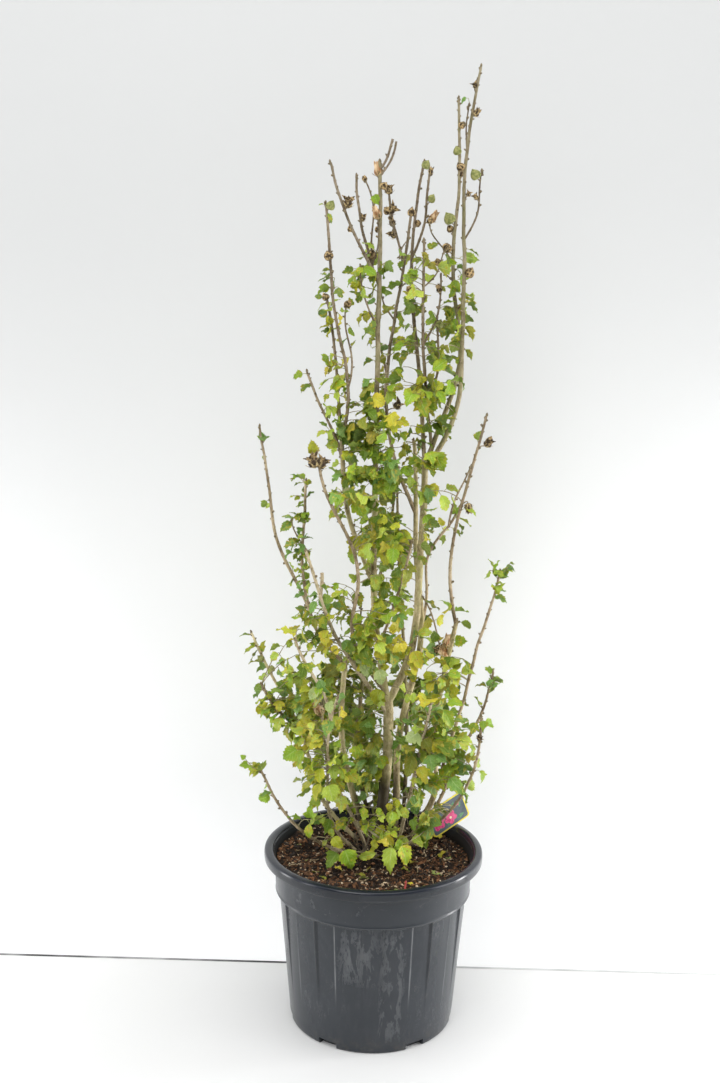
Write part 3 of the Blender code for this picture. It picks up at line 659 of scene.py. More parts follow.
def read_limbs():
    limbs = {}
    for name, parent, at, tip, bow, sway, ripples, thick, thin in LIMBS:
        limbs[name] = {
            "name": name, "parent": parent, "tip": np.array(tip) * MM, "bow": np.array(bow) * MM,
            "sway": np.array([sway[0], 0, sway[1]]) * MM, "ripples": [size * MM for size in ripples],
            "thick": thick * MM, "thin": thin * MM, "extra": False,
            "foot": limb_line(limbs[parent], at) if parent else np.array([at[0] * MM, at[1] * MM, SOIL_TOP]),
        }
    source = dice("twig bends")
    for name, parent, at, tip, thick, thin in TWIGS:
        foot, end = limb_line(limbs[parent], at), np.array(tip) * MM
        size = np.linalg.norm(end - foot)
        out = across(end - foot, unit(limb_line(limbs[parent], min(1.0, at + 0.02)) - limb_line(limbs[parent], at - 0.02)))
        limbs[name] = {
            "name": name, "parent": parent, "foot": foot, "tip": end, "bow": out * size * 0.10 + source.normal(size=3) * size * 0.012,
            "sway": source.normal(size=3) * size * 0.014, "ripples": [], "thick": thick * MM, "thin": thin * MM, "extra": True,
        }
    for limb in limbs.values():
        t = np.linspace(0, 1, 200)
        line = limb_line(limb, t)
        limb["length"] = float(np.linalg.norm(np.diff(line, axis=0), axis=1).sum())
    return limbs


def limb_nodes(limb):
    """Where the leaves and buds stand on a limb: shares, and directions out of the stem that turn by two fifths each time."""
    source = dice("nodes " + limb["name"])
    gap = 0.0155 if limb["thick"] < 0.0036 else 0.0185
    gap *= 1.0 + 0.6 * smooth(limb["thick"], 0.004, 0.009)
    places, s = [], 0.012 + gap * source.random()
    while s < limb["length"] - 0.003:
        places.append(s)
        s += gap * source.uniform(0.72, 1.32) * (1.0 - 0.42 * (s / limb["length"]) ** 2)
    t = np.array(places) / limb["length"]
    turn = source.uniform(0, TAU) + np.arange(len(t)) * math.radians(144) + source.normal(size=len(t)) * 0.22
    here = limb_line(limb, t)
    ahead = unit(limb_line(limb, np.minimum(1, t + 0.004)) - limb_line(limb, np.maximum(0, t - 0.004)))
    ref = across(np.broadcast_to(np.array([1.0, 0.0, 0.0]), ahead.shape), ahead)
    out = np.cos(turn)[:, None] * ref + np.sin(turn)[:, None] * np.cross(ahead, ref)
    return {"t": t, "at": here, "ahead": ahead, "out": out, "radius": limb_radius(limb, t), "limb": limb["name"], "swell": source.uniform(0.5, 1.0, len(t))}


def grow_limb(heap, limb, nodes):
    """A limb's bark surface: furrowed where old, knuckled at every node, a little crooked between them."""
    old = limb["thick"] > 0.0045
    step = 0.0034 if old else 0.0030
    count = max(8, int(limb["length"] / step))
    t = np.linspace(0, 1, count + 1)
    line = limb_line(limb, t)
    radius = limb_radius(limb, t)
    s = t * limb["length"]
    seed = zlib.crc32(limb["name"].encode()) % 997
    if not limb["parent"]:
        down = np.array([[-0.25, -0.12], [-0.12, -0.05], [0.0, 0.0]])
        root = line[0] + np.stack([(line[0] - line[8])[0] * np.array([0.5, 0.25]), (line[0] - line[8])[1] * np.array([0.5, 0.25]), np.array([-0.020, -0.009])], 1)
        line = np.concatenate([root, line])
        radius = np.concatenate([[radius[0] * 1.08, radius[0] * 1.04], radius])
        s = np.concatenate([[-0.020, -0.009], s])
    sides = 26 if limb["name"] == "trunk" else 18 if limb["thick"] > 0.0065 else 14 if old else 10
    wander = np.stack([value_noise(np.stack([s * 26, np.full_like(s, seed + k * 7.3), np.full_like(s, 0.5)], -1), seed + k) for k in range(3)], -1)
    fade = np.minimum(1.0, np.clip(s, 0, None) / 0.03)[:, None]
    line = line + wander * fade * (0.0010 if old else 0.0013) * np.array([1, 1, 0.3])
    angle = np.arange(sides) / sides * TAU
    grid = np.stack([np.broadcast_to(np.cos(angle), (len(s), sides)), np.broadcast_to(np.sin(angle), (len(s), sides)), np.broadcast_to(s[:, None], (len(s), sides))], -1)
    relief = 0.06 * fractal(grid * np.array([1.2, 1.2, 34.0]) + seed, seed, 3)
    if old:
        rough = 1.0 if limb["name"] == "trunk" else 0.6
        furrow = fractal(grid * np.array([2.8, 2.8, 46.0]) + 3 * seed, seed + 5, 3)
        relief = relief + 0.042 * rough * furrow - 0.024 * rough * smooth(-furrow, 0.25, 0.7)
        relief = relief + 0.026 * rough * value_noise(grid * np.array([6.0, 6.0, 150.0]) + seed, seed + 9)
    if limb["name"] == "trunk":
        knot = 0.222
        relief = relief + 0.16 * np.exp(-((s[:, None] - knot) / 0.009) ** 2) * np.clip(np.cos(angle - 4.4), 0, 1)[None] ** 2
        relief = relief - 0.22 * np.exp(-((s[:, None] - knot) / 0.0035) ** 2) * np.clip(np.cos(angle - 4.4), 0, 1)[None] ** 12
        relief = relief + 0.12 * np.exp(-((s[:, None] - 0.105) / 0.012) ** 2) * np.clip(np.cos(angle - 1.2), 0, 1)[None] ** 2
        flare = np.exp(-np.clip(s, 0, None) / 0.018)[:, None] * (0.13 * np.cos(3 * angle + 0.6) + 0.08 * np.cos(5 * angle + 2.0))[None]
        relief = relief + flare
    tangent, side, other = frames_along(line[None])
    strength = 0.34 if not old else 0.17
    for place, out, swell in zip(nodes["t"] * limb["length"], nodes["out"], nodes["swell"]):
        k = int(np.abs(s - place).argmin())
        face = math.atan2(float(out @ other[0, k]), float(out @ side[0, k]))
        lobe = 0.45 + 0.55 * np.clip(np.cos(angle - face), 0, 1)
        near = np.exp(-((s - place) / 0.0021) ** 2)[:, None]
        relief = relief + strength * swell * near * lobe[None]
    if limb["name"] in ("front_stub", "right_stub", "cut_tip", "cut_tip_side"):
        relief = relief + 0.10 * np.exp(-((s - s[-1]) / 0.003) ** 2)[:, None]
    else:
        radius = radius * (1 - 0.35 * smooth(s, s[-1] - 0.004, s[-1]))
    tubes(heap, line, radius, sides, relief=relief)


def build_bark(limbs, nodes):
    heaps = {"old": Heap(), "young": Heap(), "dark": Heap(), "tan": Heap()}
    kinds = {}
    for name, limb in limbs.items():
        kind = "old" if name in OLD_BARK else "dark" if name in DARK_BARK else "tan" if name in TAN_BARK else "young"
        kinds[name] = kind
        grow_limb(heaps[kind], limb, nodes[name])
    made = {
        "old": bark_material("bark_old", (0.082, 0.064, 0.032), (0.205, 0.168, 0.096), (0.345, 0.298, 0.195), moss=0.40, low_gain=2.05, low=(0.80, 1.45), foot=(0.022, 0.015, 0.009)),
        "young": bark_material("bark_young", (0.060, 0.042, 0.024), (0.165, 0.125, 0.080), (0.320, 0.260, 0.180), moss=0.10, scale=280.0, low_gain=1.7, low=(0.95, 1.50)),
        "dark": bark_material("bark_dark", (0.030, 0.023, 0.012), (0.105, 0.084, 0.045), (0.230, 0.190, 0.110), moss=0.30, scale=280.0, low_gain=1.3, foot=(0.022, 0.016, 0.010)),
        "tan": bark_material("bark_tan", (0.120, 0.085, 0.048), (0.400, 0.320, 0.195), (0.640, 0.540, 0.370), moss=0.12, scale=280.0),
    }
    for kind, heap in heaps.items():
        stands_for = [name for name, limb in limbs.items() if kinds[name] == kind and not limb["extra"]]
        piece(f"limbs_{kind}", heap, [made[kind]], stands_for)
    return made


# ---------------------------------------------------------------- leaves

# Along the midrib: half width and forward reach of the margin, as shares of the leaf's length
OUTLINES = {
    "broad": (
        [0, .04, .11, .19, .26, .35, .42, .51, .57, .66, .72, .81, .87, 1.0],
        [.016, .13, .270, .385, .345, .435, .350, .385, .280, .290, .200, .190, .095, 0],
        [0, -.030, -.030, .000, -.020, .030, -.030, .035, -.020, .035, -.010, .030, 0, 0],
    ),
    "lobed": (
        [0, .05, .12, .22, .29, .39, .46, .52, .59, .68, .74, .82, .88, 1.0],
        [.016, .14, .270, .400, .370, .500, .370, .250, .270, .265, .190, .180, .090, 0],
        [0, -.035, -.030, .010, .000, .090, .050, -.020, .020, .045, -.005, .030, 0, 0],
    ),
    "narrow": (
        [0, .08, .17, .27, .34, .44, .50, .59, .64, .73, .79, .86, .91, 1.0],
        [.014, .110, .205, .290, .255, .330, .255, .290, .205, .225, .145, .140, .065, 0],
        [0, -.010, 0, .020, -.010, .035, -.020, .035, -.015, .035, -.005, .020, 0, 0],
    ),
}
# x shares of the five columns on top
COLUMNS = np.array([-1.0, -0.52, 0.0, 0.52, 1.0])

LEAF_TONES = {
    # base, edge, vein
    "leaves_mid": ((0.228, 0.388, 0.021), (0.395, 0.470, 0.025), (0.390, 0.530, 0.115)),
    "leaves_deep": ((0.128, 0.220, 0.013), (0.220, 0.292, 0.017), (0.265, 0.370, 0.066)),
    "leaves_light": ((0.360, 0.490, 0.052), (0.500, 0.570, 0.064), (0.520, 0.640, 0.180)),
    "leaves_lime": ((0.410, 0.460, 0.026), (0.580, 0.530, 0.034), (0.510, 0.560, 0.100)),
    "leaves_yellow": ((0.560, 0.525, 0.040), (0.740, 0.590, 0.050), (0.600, 0.600, 0.120)),
    "leaves_cool": ((0.155, 0.310, 0.055), (0.255, 0.395, 0.065), (0.340, 0.480, 0.160)),
    "leaves_olive": ((0.235, 0.270, 0.022), (0.385, 0.325, 0.040), (0.350, 0.370, 0.085)),
    "leaves_pale": ((0.360, 0.460, 0.150), (0.450, 0.520, 0.180), (0.520, 0.610, 0.280)),
}
TONES = list(LEAF_TONES)


LEAF_BOX = np.array([[-0.276, -0.216, 0.318], [0.276, 0.268, 1.832]])
# Stems that stand clear of the leaves in front: limb, from share, to share, half width in mm
CLEAR = [
    ("trunk", 0.10, 1.0, 11), ("leader_left", 0.46, 0.80, 7), ("leader_left", 0.0, 0.20, 6), ("leader_right", 0.0, 1.0, 8), ("stem_front_tan", 0.05, 1.0, 11),
    ("stem_front_left", 0.05, 1.0, 11), ("bough_front", 0.15, 1.0, 6), ("bough_left_front", 0.25, 1.0, 7), ("stem_front_right", 0.05, 1.0, 11),
    ("stem_right", 0.15, 1.0, 7), ("stem_back", 0.45, 1.0, 6), ("bough_middle", 0.0, 0.8, 6), ("shoot_tall", 0.05, 0.9, 6), ("leader_right_top", 0.0, 0.7, 6),
    ("bough_left", 0.25, 1.0, 6), ("bough_left_top", 0.0, 1.0, 5), ("stem_left", 0.25, 1.0, 6), ("stem_left_low", 0.1, 0.9, 5), ("bough_right", 0.1, 1.0, 6),
    ("shoot_centre", 0.2, 1.0, 5), ("shoot_middle_front", 0.1, 0.9, 4), ("stem_right_long", 0.4, 0.92, 5), ("stem_left_long", 0.3, 0.9, 5), ("shoot_right_inner", 0.1, 0.8, 5),
]
FRONT = np.array([-0.036, -2.26, 1.304])


def seen(points):
    """Where points fall on an upright sheet through the middle of the shrub when looked at from the front."""
    points = np.asarray(points, float)
    k = (0.05 - FRONT[1]) / (points[..., 1] - FRONT[1])
    return np.stack([FRONT[0] + (points[..., 0] - FRONT[0]) * k, FRONT[2] + (points[..., 2] - FRONT[2]) * k], -1)


def clear_lines(limbs):
    at, depth, width = [], [], []
    for name, low, high, half in CLEAR:
        line = limb_line(limbs[name], np.linspace(low, high, 40))
        at.append(seen(line))
        depth.append(line[:, 1])
        width.append(np.full(40, half * MM))
    return np.concatenate(at), np.concatenate(depth), np.concatenate(width)


class Foliage:
    """Collects leaves as rows of numbers, to be drawn all at once."""

    def __init__(self, limbs):
        self.rows = []
        self.petioles = []
        self.lines, self.depths, self.widths = clear_lines(limbs)
        heads = [(limb_line(limbs[name], share) + np.array([dx, 0, dz]) * MM, size * MM) for name, share, (dx, dz), kind, size in HEADS]
        self.heads = seen(np.array([place for place, _ in heads]))
        self.head_depths = np.array([place[1] for place, _ in heads])
        self.head_sizes = np.array([0.60 * size + 0.003 for _, size in heads])

    def hides(self, middle):
        """How surely a leaf here is left out for standing in front of a clear stem."""
        place = seen(middle)
        near = np.hypot(*(self.lines - place).T) < self.widths
        if (near & (middle[1] < self.depths + 0.004)).any():
            return 0.72
        near = np.hypot(*(self.heads - place).T) < self.head_sizes
        return 0.90 if (near & (middle[1] < self.head_depths + 0.010)).any() else 0.0

    def over_tag(self, spot):
        place = seen(spot)
        return spot[1] < 0.12 and 0.112 < place[0] < 0.200 and 0.318 < place[1] < 0.440

    def leaf(self, root, base, ahead, normal, length, width, tone, kind, source, chosen=False):
        """root is where the stalk leaves the twig, base is where the blade starts. Leaves that would reach far outside the shrub's box are left out."""
        tip = base + unit(ahead) * length
        if (np.minimum(base, tip) < LEAF_BOX[0]).any() or (np.maximum(base, tip) > LEAF_BOX[1]).any():
            return
        middle = (base + tip) / 2
        if not chosen and (source.random() < self.hides(middle) or min(base[2], tip[2]) < 0.350 or any(self.over_tag(spot) for spot in (base, middle, tip))):
            return
        self.rows.append((base, ahead, normal, length, width, tone, kind, source.random(8)))
        self.petioles.append((root, base, ahead))

    def draw(self):
        kinds = list(OUTLINES)
        heaps = {tone: Heap() for tone in TONES}
        for tone in TONES:
            for kind in kinds:
                rows = [row for row in self.rows if row[5] == tone and row[6] == kind]
                if rows:
                    self._draw(heaps[tone], rows, kind)
        for tone, heap in heaps.items():
            base, edge, vein = LEAF_TONES[tone]
            pale = tuple(0.66 * a + 0.34 * b for a, b in zip(base, (0.30, 0.38, 0.16)))
            top = leaf_material(tone + "_top", base, edge, vein, 0.48)
            under = leaf_material(tone + "_under", pale, tuple(0.6 * a + 0.4 * b for a, b in zip(edge, pale)), tuple(1.1 * v for v in vein), 0.62, under=True)
            stands_for = [name for name in frame["nodes"] if name.startswith("leaves_")] if tone == "leaves_mid" else []
            piece(tone, heap, [top, under], stands_for)

    def _draw(self, heap, rows, kind):
        s, w, reach = (np.array(v) for v in OUTLINES[kind])
        n, m = len(s), len(rows)
        base = np.array([row[0] for row in rows])
        ahead = unit(np.array([row[1] for row in rows]))
        normal = across(np.array([row[2] for row in rows]), ahead)
        side = np.cross(ahead, normal)
        length = np.array([row[3] for row in rows])[:, None, None]
        width = np.array([row[4] for row in rows])[:, None, None]
        r = np.array([row[7] for row in rows])[:, :, None, None]
        # across (m, n, 5)
        u = COLUMNS[None, None, :]
        lobes = 1 + 0.24 * (r[:, 0] - 0.5) * np.sin(np.pi * s * 2.1)[None, :, None] + 0.20 * (r[:, 1] - 0.5) * np.sign(u)
        teeth = 1 + 0.11 * (value_noise(np.stack(np.broadcast_arrays(s[None, :, None] * 11 + 40 * r[:, 2], u * 1.5 + 9 * r[:, 3], r[:, 4] * 50), -1), 3)) * (np.abs(u) > 0.9)
        x = w[None, :, None] * u * width * length * lobes * teeth
        along = s[None, :, None] + reach[None, :, None] * np.abs(u) ** 3
        curl = 0.25 + 1.25 * r[:, 5] ** 1.6
        y = length * np.sin(curl * along) / curl
        z = -length * (1 - np.cos(curl * along)) / curl
        fold = 0.10 + 0.50 * r[:, 6] ** 1.5
        z = z + fold * np.abs(x) * (1 - 0.45 * s[None, :, None])
        ripple = np.sin(TAU * (1.9 * s[None, :, None] + r[:, 2]) + (u > 0) * 2.1)
        z = z + 0.085 * length * ripple * np.abs(u) ** 2 * smooth(s, 0.05, 0.35)[None, :, None] * (0.5 + r[:, 7])
        top = z + (np.abs(np.abs(u) - 0.52) < 0.01) * 0.016 * length * (w / w.max())[None, :, None]
        twist = (r[:, 3] - 0.5) * 0.7 * s[None, :, None]
        xt = x * np.cos(twist)
        rise = x * np.sin(twist)

        def world(a, b, c):
            return base[:, None, None] + a[..., None] * side[:, None, None] + b[..., None] * ahead[:, None, None] + c[..., None] * normal[:, None, None]

        upper = world(xt, y, top + rise)
        thick = 0.00042
        low = z + rise
        low = low - np.array([0, thick, 2.6 * thick, thick, 0])[None, None] * (1 - 0.6 * s)[None, :, None]
        lower = world(xt, y, low)[:, :, [0, 2, 4]]
        loc = np.empty((m, n, 5, 3))
        loc[..., 0] = u
        loc[..., 1] = s[None, :, None]
        loc[..., 2] = r[:, 4]
        i, j = np.meshgrid(np.arange(n - 1), np.arange(4), indexing="ij")
        up = np.stack([i * 5 + j, i * 5 + j + 1, (i + 1) * 5 + j + 1, (i + 1) * 5 + j], -1).reshape(-1, 4)
        i, j = np.meshgrid(np.arange(n - 1), np.arange(2), indexing="ij")
        down = n * 5 + np.stack([i * 3 + j, (i + 1) * 3 + j, (i + 1) * 3 + j + 1, i * 3 + j + 1], -1).reshape(-1, 4)
        verts = np.concatenate([upper.reshape(m, -1, 3), lower.reshape(m, -1, 3)], 1)
        local = np.concatenate([loc.reshape(m, -1, 3), loc[:, :, [0, 2, 4]].reshape(m, -1, 3)], 1)
        faces = np.concatenate([up, down])
        quads = (faces[None] + (np.arange(m) * verts.shape[1])[:, None, None]).reshape(-1, 4)
        mat = np.tile(np.concatenate([np.zeros(len(up), np.int32), np.ones(len(down), np.int32)]), m)
        heap.add(verts, quads, None, local, mat)


# Share of each tone: mid, deep, light, lime, yellow, cool, olive, pale
MIXES = {
    "low": (0.27, 0.18, 0.18, 0.11, 0.028, 0.180, 0.055, 0.006),
    "left": (0.20, 0.12, 0.24, 0.19, 0.055, 0.115, 0.075, 0.020),
    "centre": (0.22, 0.09, 0.31, 0.20, 0.040, 0.110, 0.025, 0.012),
    "base": (0.31, 0.26, 0.16, 0.12, 0.035, 0.050, 0.060, 0.004),
    "column": (0.38, 0.20, 0.19, 0.08, 0.006, 0.085, 0.052, 0.004),
    "upper": (0.34, 0.20, 0.21, 0.10, 0.006, 0.090, 0.052, 0.004),
    "rear": (0.36, 0.33, 0.13, 0.07, 0.008, 0.040, 0.060, 0.000),
    "fresh": (0.24, 0.12, 0.25, 0.04, 0.000, 0.320, 0.000, 0.015),
}

# How the leaf lengths of each mix run against the table below
GROWTH = {"low": (0.88, 1.10), "left": (0.86, 1.08), "centre": (0.92, 1.14), "base": (0.80, 0.98), "column": (1.02, 1.22), "upper": (0.96, 1.12), "rear": (0.95, 1.10), "fresh": (0.92, 1.08)}

# How much thinner the bigger leaves of a mix are dealt out than the table below says
THINNED = {"low": 0.92, "left": 0.94, "centre": 0.96, "column": 0.86, "upper": 0.93}

# Clump: centre, half sizes in mm, lean, leaves per litre, leaf length in mm (low, high), mix. The first ones are the CAD's masses, the rest fill in between them.
CROWN = {
    "leaves_base_front": ((2, -38, 405), (84, 56, 74), 0, 40, (22, 38), "base"),
    "leaves_base_rear": ((6, 142, 420), (74, 40, 82), 0, 88, (26, 42), "rear"),
    "leaves_low_left_front": ((-94, -90, 546), (58, 42, 94), -6, 108, (26, 44), "left"),
    "leaves_low_left": ((-132, 32, 628), (66, 62, 74), 6, 80, (26, 44), "left"),
    "leaves_left_spread": ((-104, -46, 798), (56, 50, 66), -8, 70, (22, 38), "left"),
    "leaves_low_right": ((110, -42, 576), (54, 54, 116), 6, 100, (28, 48), "low"),
    "leaves_low_right_outer": ((150, 84, 550), (34, 54, 92), 12, 26, (26, 44), "low"),
    "leaves_low_rear": ((84, 206, 614), (70, 44, 118), 2, 50, (28, 46), "rear"),
    "leaves_low_left_rear": ((-64, 190, 592), (82, 50, 124), -4, 66, (26, 44), "rear"),
    "leaves_centre": ((14, -26, 764), (60, 44, 110), 0, 90, (24, 40), "centre"),
    "leaves_column": ((-14, -6, 1030), (50, 42, 150), 0, 104, (24, 40), "column"),
    "leaves_column_rear": ((12, 126, 930), (50, 44, 156), 0, 66, (24, 40), "rear"),
    "leaves_left_spire": ((-151, 44, 970), (21, 32, 106), 0, 84, (16, 28), "fresh"),
    "leaves_left_upper": ((-86, 14, 1226), (30, 38, 122), 0, 62, (20, 32), "upper"),
    "leaves_right_middle": ((80, 40, 1040), (29, 40, 134), 0, 60, (22, 38), "column"),
    "leaves_right_upper": ((106, 72, 1376), (54, 54, 126), 4, 38, (26, 42), "upper"),
    "leaves_tip_right": ((236, -32, 914), (28, 26, 26), 30, 150, (16, 28), "fresh"),
    "leaves_tip_left": ((-222, -58, 522), (26, 24, 24), -40, 160, (15, 25), "fresh"),
    "column_top": ((-8, 28, 1180), (48, 40, 80), 0, 116, (24, 38), "column"),
    "column_right": ((56, 64, 1130), (32, 38, 130), 0, 62, (22, 36), "column"),
    "column_left": ((-54, 22, 1144), (30, 28, 98), 0, 96, (22, 34), "upper"),
    "right_middle_top": ((110, 58, 1250), (32, 40, 84), 0, 86, (25, 40), "column"),
    "left_high": ((-30, 62, 1462), (26, 26, 62), 0, 120, (20, 32), "upper"),
    "middle_high": ((48, 74, 1424), (28, 30, 94), 0, 84, (24, 39), "upper"),
    "middle_gap": ((30, 60, 1306), (30, 28, 62), 0, 112, (22, 34), "upper"),
    "left_tip_high": ((-96, 10, 1420), (28, 24, 40), 0, 90, (16, 28), "upper"),
    "right_high": ((118, 62, 1512), (22, 22, 26), 0, 100, (18, 28), "upper"),
    "trunk_left": ((-12, 44, 556), (32, 40, 116), 0, 98, (26, 42), "low"),
    "left_outer": ((-168, 20, 668), (32, 30, 34), 0, 36, (20, 34), "left"),
    "left_lower_edge": ((-122, -20, 528), (34, 36, 78), 0, 66, (24, 40), "left"),
    "base_left": ((-102, -50, 420), (40, 36, 44), 0, 104, (24, 40), "left"),
    "base_right": ((106, -40, 442), (36, 34, 42), 0, 66, (24, 40), "base"),
    "left_mid_gap": ((-60, 0, 846), (34, 34, 58), 0, 34, (22, 36), "column"),
    "right_low_gap": ((120, 10, 694), (34, 34, 60), 0, 92, (24, 40), "low"),
    "column_mid_right": ((38, 30, 1086), (24, 24, 36), 0, 92, (22, 36), "column"),
    "column_notch": ((50, 40, 1248), (24, 26, 30), 0, 130, (24, 36), "column"),
    "middle_notch": ((8, 70, 1444), (16, 18, 18), 0, 80, (20, 30), "upper"),
    "trunk_right": ((44, 60, 545), (24, 34, 50), 0, 70, (24, 38), "low"),
    "foot_rear": ((40, 150, 470), (46, 30, 46), 0, 90, (26, 42), "rear"),
    "spire_top": ((-150, 60, 1064), (18, 20, 26), 0, 110, (16, 26), "fresh"),
    "left_step": ((-148, 5, 742), (30, 26, 28), 0, 120, (22, 36), "left"),
    "centre_top": ((4, 0, 872), (24, 26, 28), 0, 112, (22, 36), "column"),
    "centre_right": ((78, -5, 750), (22, 24, 24), 0, 56, (24, 38), "centre"),
    "left_shoulder": ((-160, -22, 744), (26, 22, 20), 0, 210, (26, 40), "left"),
    "low_left_gap": ((-53, 2, 812), (20, 22, 24), 0, 180, (24, 38), "centre"),
    "low_middle_gap": ((16, 14, 830), (18, 20, 28), 0, 210, (24, 38), "centre"),
    "low_right_gap": ((102, 0, 704), (18, 22, 20), 0, 200, (24, 38), "low"),
    "right_middle_gap": ((92, 34, 1010), (12, 18, 16), 0, 170, (22, 34), "column"),
    "upper_gap": ((54, 60, 1458), (16, 18, 24), 0, 220, (24, 36), "upper"),
    "left_upper_gap": ((-98, 0, 1276), (14, 16, 18), 0, 220, (20, 32), "upper"),
    "right_edge_high": ((146, 60, 1350), (20, 22, 32), 0, 90, (22, 34), "upper"),
}

# Single leaves that stand out: where the blade starts, where it ends, in mm, width share, tone, outline
SINGLE = [
    ((-71, -85, 366), (-91, -105, 345), 1.0, "leaves_deep", "broad"), ((-55, -100, 379), (-41, -118, 343), 1.0, "leaves_mid", "broad"),
    ((3, -95, 372), (-32, -100, 360), 0.8, "leaves_light", "narrow"), ((33, -105, 387), (24, -124, 341), 0.80, "leaves_light", "broad"),
    ((52, -100, 389), (66, -112, 353), 0.95, "leaves_mid", "broad"), ((26, -100, 388), (10, -105, 406), 1.0, "leaves_yellow", "broad"),
    ((104, -20, 430), (114, -52, 366), 0.74, "leaves_cool", "lobed"), ((122, 10, 432), (140, -4, 405), 0.8, "leaves_cool", "broad"), ((92, -30, 398), (100, -52, 362), 0.8, "leaves_deep", "broad"), ((-236, 60, 610), (-208, 50, 591), 1.0, "leaves_lime", "broad"),
    ((-3, -30, 751), (20, -40, 734), 1.0, "leaves_yellow", "broad"), ((-149, -50, 613), (-133, -55, 591), 1.1, "leaves_yellow", "broad"),
    ((120, 30, 649), (114, 20, 626), 1.0, "leaves_lime", "broad"), ((39, -10, 811), (47, -20, 781), 1.0, "leaves_lime", "narrow"),
    ((22, -80, 400), (37, -90, 382), 1.0, "leaves_yellow", "broad"), ((-18, 10, 1228), (10, 0, 1212), 1.1, "leaves_yellow", "broad"),
    ((-101, -140, 695), (-117, -146, 671), 0.7, "leaves_pale", "narrow"), ((-108, -138, 704), (-130, -145, 684), 0.8, "leaves_pale", "broad"),
    ((-125, -50, 1125), (-127, -55, 1151), 1.1, "leaves_lime", "broad"), ((3, -10, 669), (0, -20, 620), 0.75, "leaves_lime", "broad"),
    ((-3, -90, 396), (6, -100, 372), 1.0, "leaves_lime", "broad"), ((-78, -96, 402), (-62, -112, 384), 1.0, "leaves_lime", "broad"),
    ((148, 70, 1779), (136, 64, 1772), 0.8, "leaves_cool", "lobed"), ((-104, -16, 1558), (-96, -20, 1540), 0.8, "leaves_cool", "narrow"),
    ((-20, 40, 1598), (-12, 34, 1580), 1.1, "leaves_mid", "broad"), ((-113, -14, 1574), (-124, -16, 1576), 0.7, "leaves_cool", "broad"),
]

# Leaves along a limb away from the masses: limb, from z, to z, leaves per node, leaf length (low, high) in mm, mix
ALONG = [
    ("leader_left", 1.33, 1.52, 1.5, (19, 32), "upper"),
    ("leader_left", 1.17, 1.33, 0.9, (20, 34), "upper"),
    ("bough_left_top", 1.35, 1.45, 1.0, (16, 26), "upper"),
    ("bough_left_top", 1.55, 1.60, 0.8, (14, 22), "fresh"),
    ("shoot_left_rear", 1.33, 1.42, 1.2, (16, 26), "fresh"),
    ("left_lower", 1.36, 1.48, 1.0, (18, 28), "upper"),
    ("left_third", 1.30, 1.40, 0.8, (16, 26), "upper"),
    ("shoot_left_side", 1.24, 1.28, 1.5, (14, 22), "upper"),
    ("bough_middle", 1.20, 1.36, 0.9, (20, 32), "upper"),
    ("middle_fork", 1.30, 1.43, 0.7, (18, 28), "upper"),
    ("shoot_middle", 1.48, 1.53, 1.3, (20, 30), "upper"),
    ("shoot_middle_front", 1.45, 1.52, 0.5, (18, 30), "upper"),
    ("leader_right_top", 1.44, 1.56, 0.5, (18, 30), "upper"),
    ("shoot_tall", 1.30, 1.42, 0.6, (22, 36), "upper"),
    ("shoot_tall", 1.48, 1.54, 0.7, (20, 30), "upper"),
    ("shoot_tall", 1.72, 1.83, 0.15, (10, 16), "fresh"),
    ("bough_outer_left", 1.10, 1.17, 1.6, (14, 24), "fresh"),
    ("bough_outer_left", 0.80, 1.10, 0.15, (14, 22), "upper"),
    ("shoot_left_spire", 0.82, 1.08, 1.9, (14, 25), "fresh"),
    ("stem_right_long", 0.84, 0.91, 1.3, (20, 32), "fresh"),
    ("stem_right_long", 0.50, 0.78, 0.12, (16, 26), "column"),
    ("stem_right_rear", 0.60, 0.65, 2.0, (20, 32), "fresh"),
    ("stem_right_rear", 0.45, 0.60, 0.3, (22, 38), "low"),
    ("stem_right_low", 0.42, 0.65, 0.8, (20, 34), "low"),
    ("stem_left_long", 0.68, 0.76, 1.4, (16, 26), "fresh"),
    ("shoot_left_low", 0.60, 0.69, 1.4, (18, 30), "low"),
    ("stem_left_low", 0.45, 0.53, 1.6, (18, 28), "fresh"),
    ("stem_front_tan", 0.50, 0.69, 0.8, (24, 38), "low"),
    ("shoot_left_front", 0.68, 0.80, 1.1, (18, 30), "low"),
    ("bough_front", 0.62, 0.90, 0.9, (20, 36), "low"),
    ("bough_left_front", 0.64, 0.98, 0.45, (20, 34), "column"),
    ("leader_left", 0.62, 0.86, 0.9, (22, 38), "column"),
    ("leader_right", 0.64, 1.00, 0.55, (22, 36), "column"),
    ("stem_back", 0.55, 0.95, 0.5, (22, 38), "column"),
    ("stem_rear", 0.50, 0.95, 0.5, (22, 36), "rear"),
    ("stem_dark", 0.55, 1.00, 0.5, (22, 36), "rear"),
    ("stem_right", 0.45, 0.79, 0.6, (24, 40), "low"),
    ("bough_right", 0.80, 0.88, 1.0, (20, 32), "column"),
    ("bough_right", 0.88, 1.05, 0.25, (18, 30), "column"),
    ("bough_right", 1.08, 1.15, 0.20, (14, 22), "upper"),
    ("shoot_right_inner", 0.92, 1.00, 1.1, (22, 34), "column"),
    ("shoot_centre", 0.74, 0.94, 0.6, (22, 36), "column"),
    ("back_side", 0.72, 0.80, 0.8, (22, 34), "low"),
    ("bough_left", 0.80, 1.15, 0.55, (20, 34), "column"),
    ("stem_front_left", 0.45, 0.64, 0.9, (24, 38), "low"),
    ("stem_front_right", 0.42, 0.66, 1.0, (26, 42), "low"),
    ("stem_left", 0.45, 0.69, 0.6, (24, 38), "low"),
]


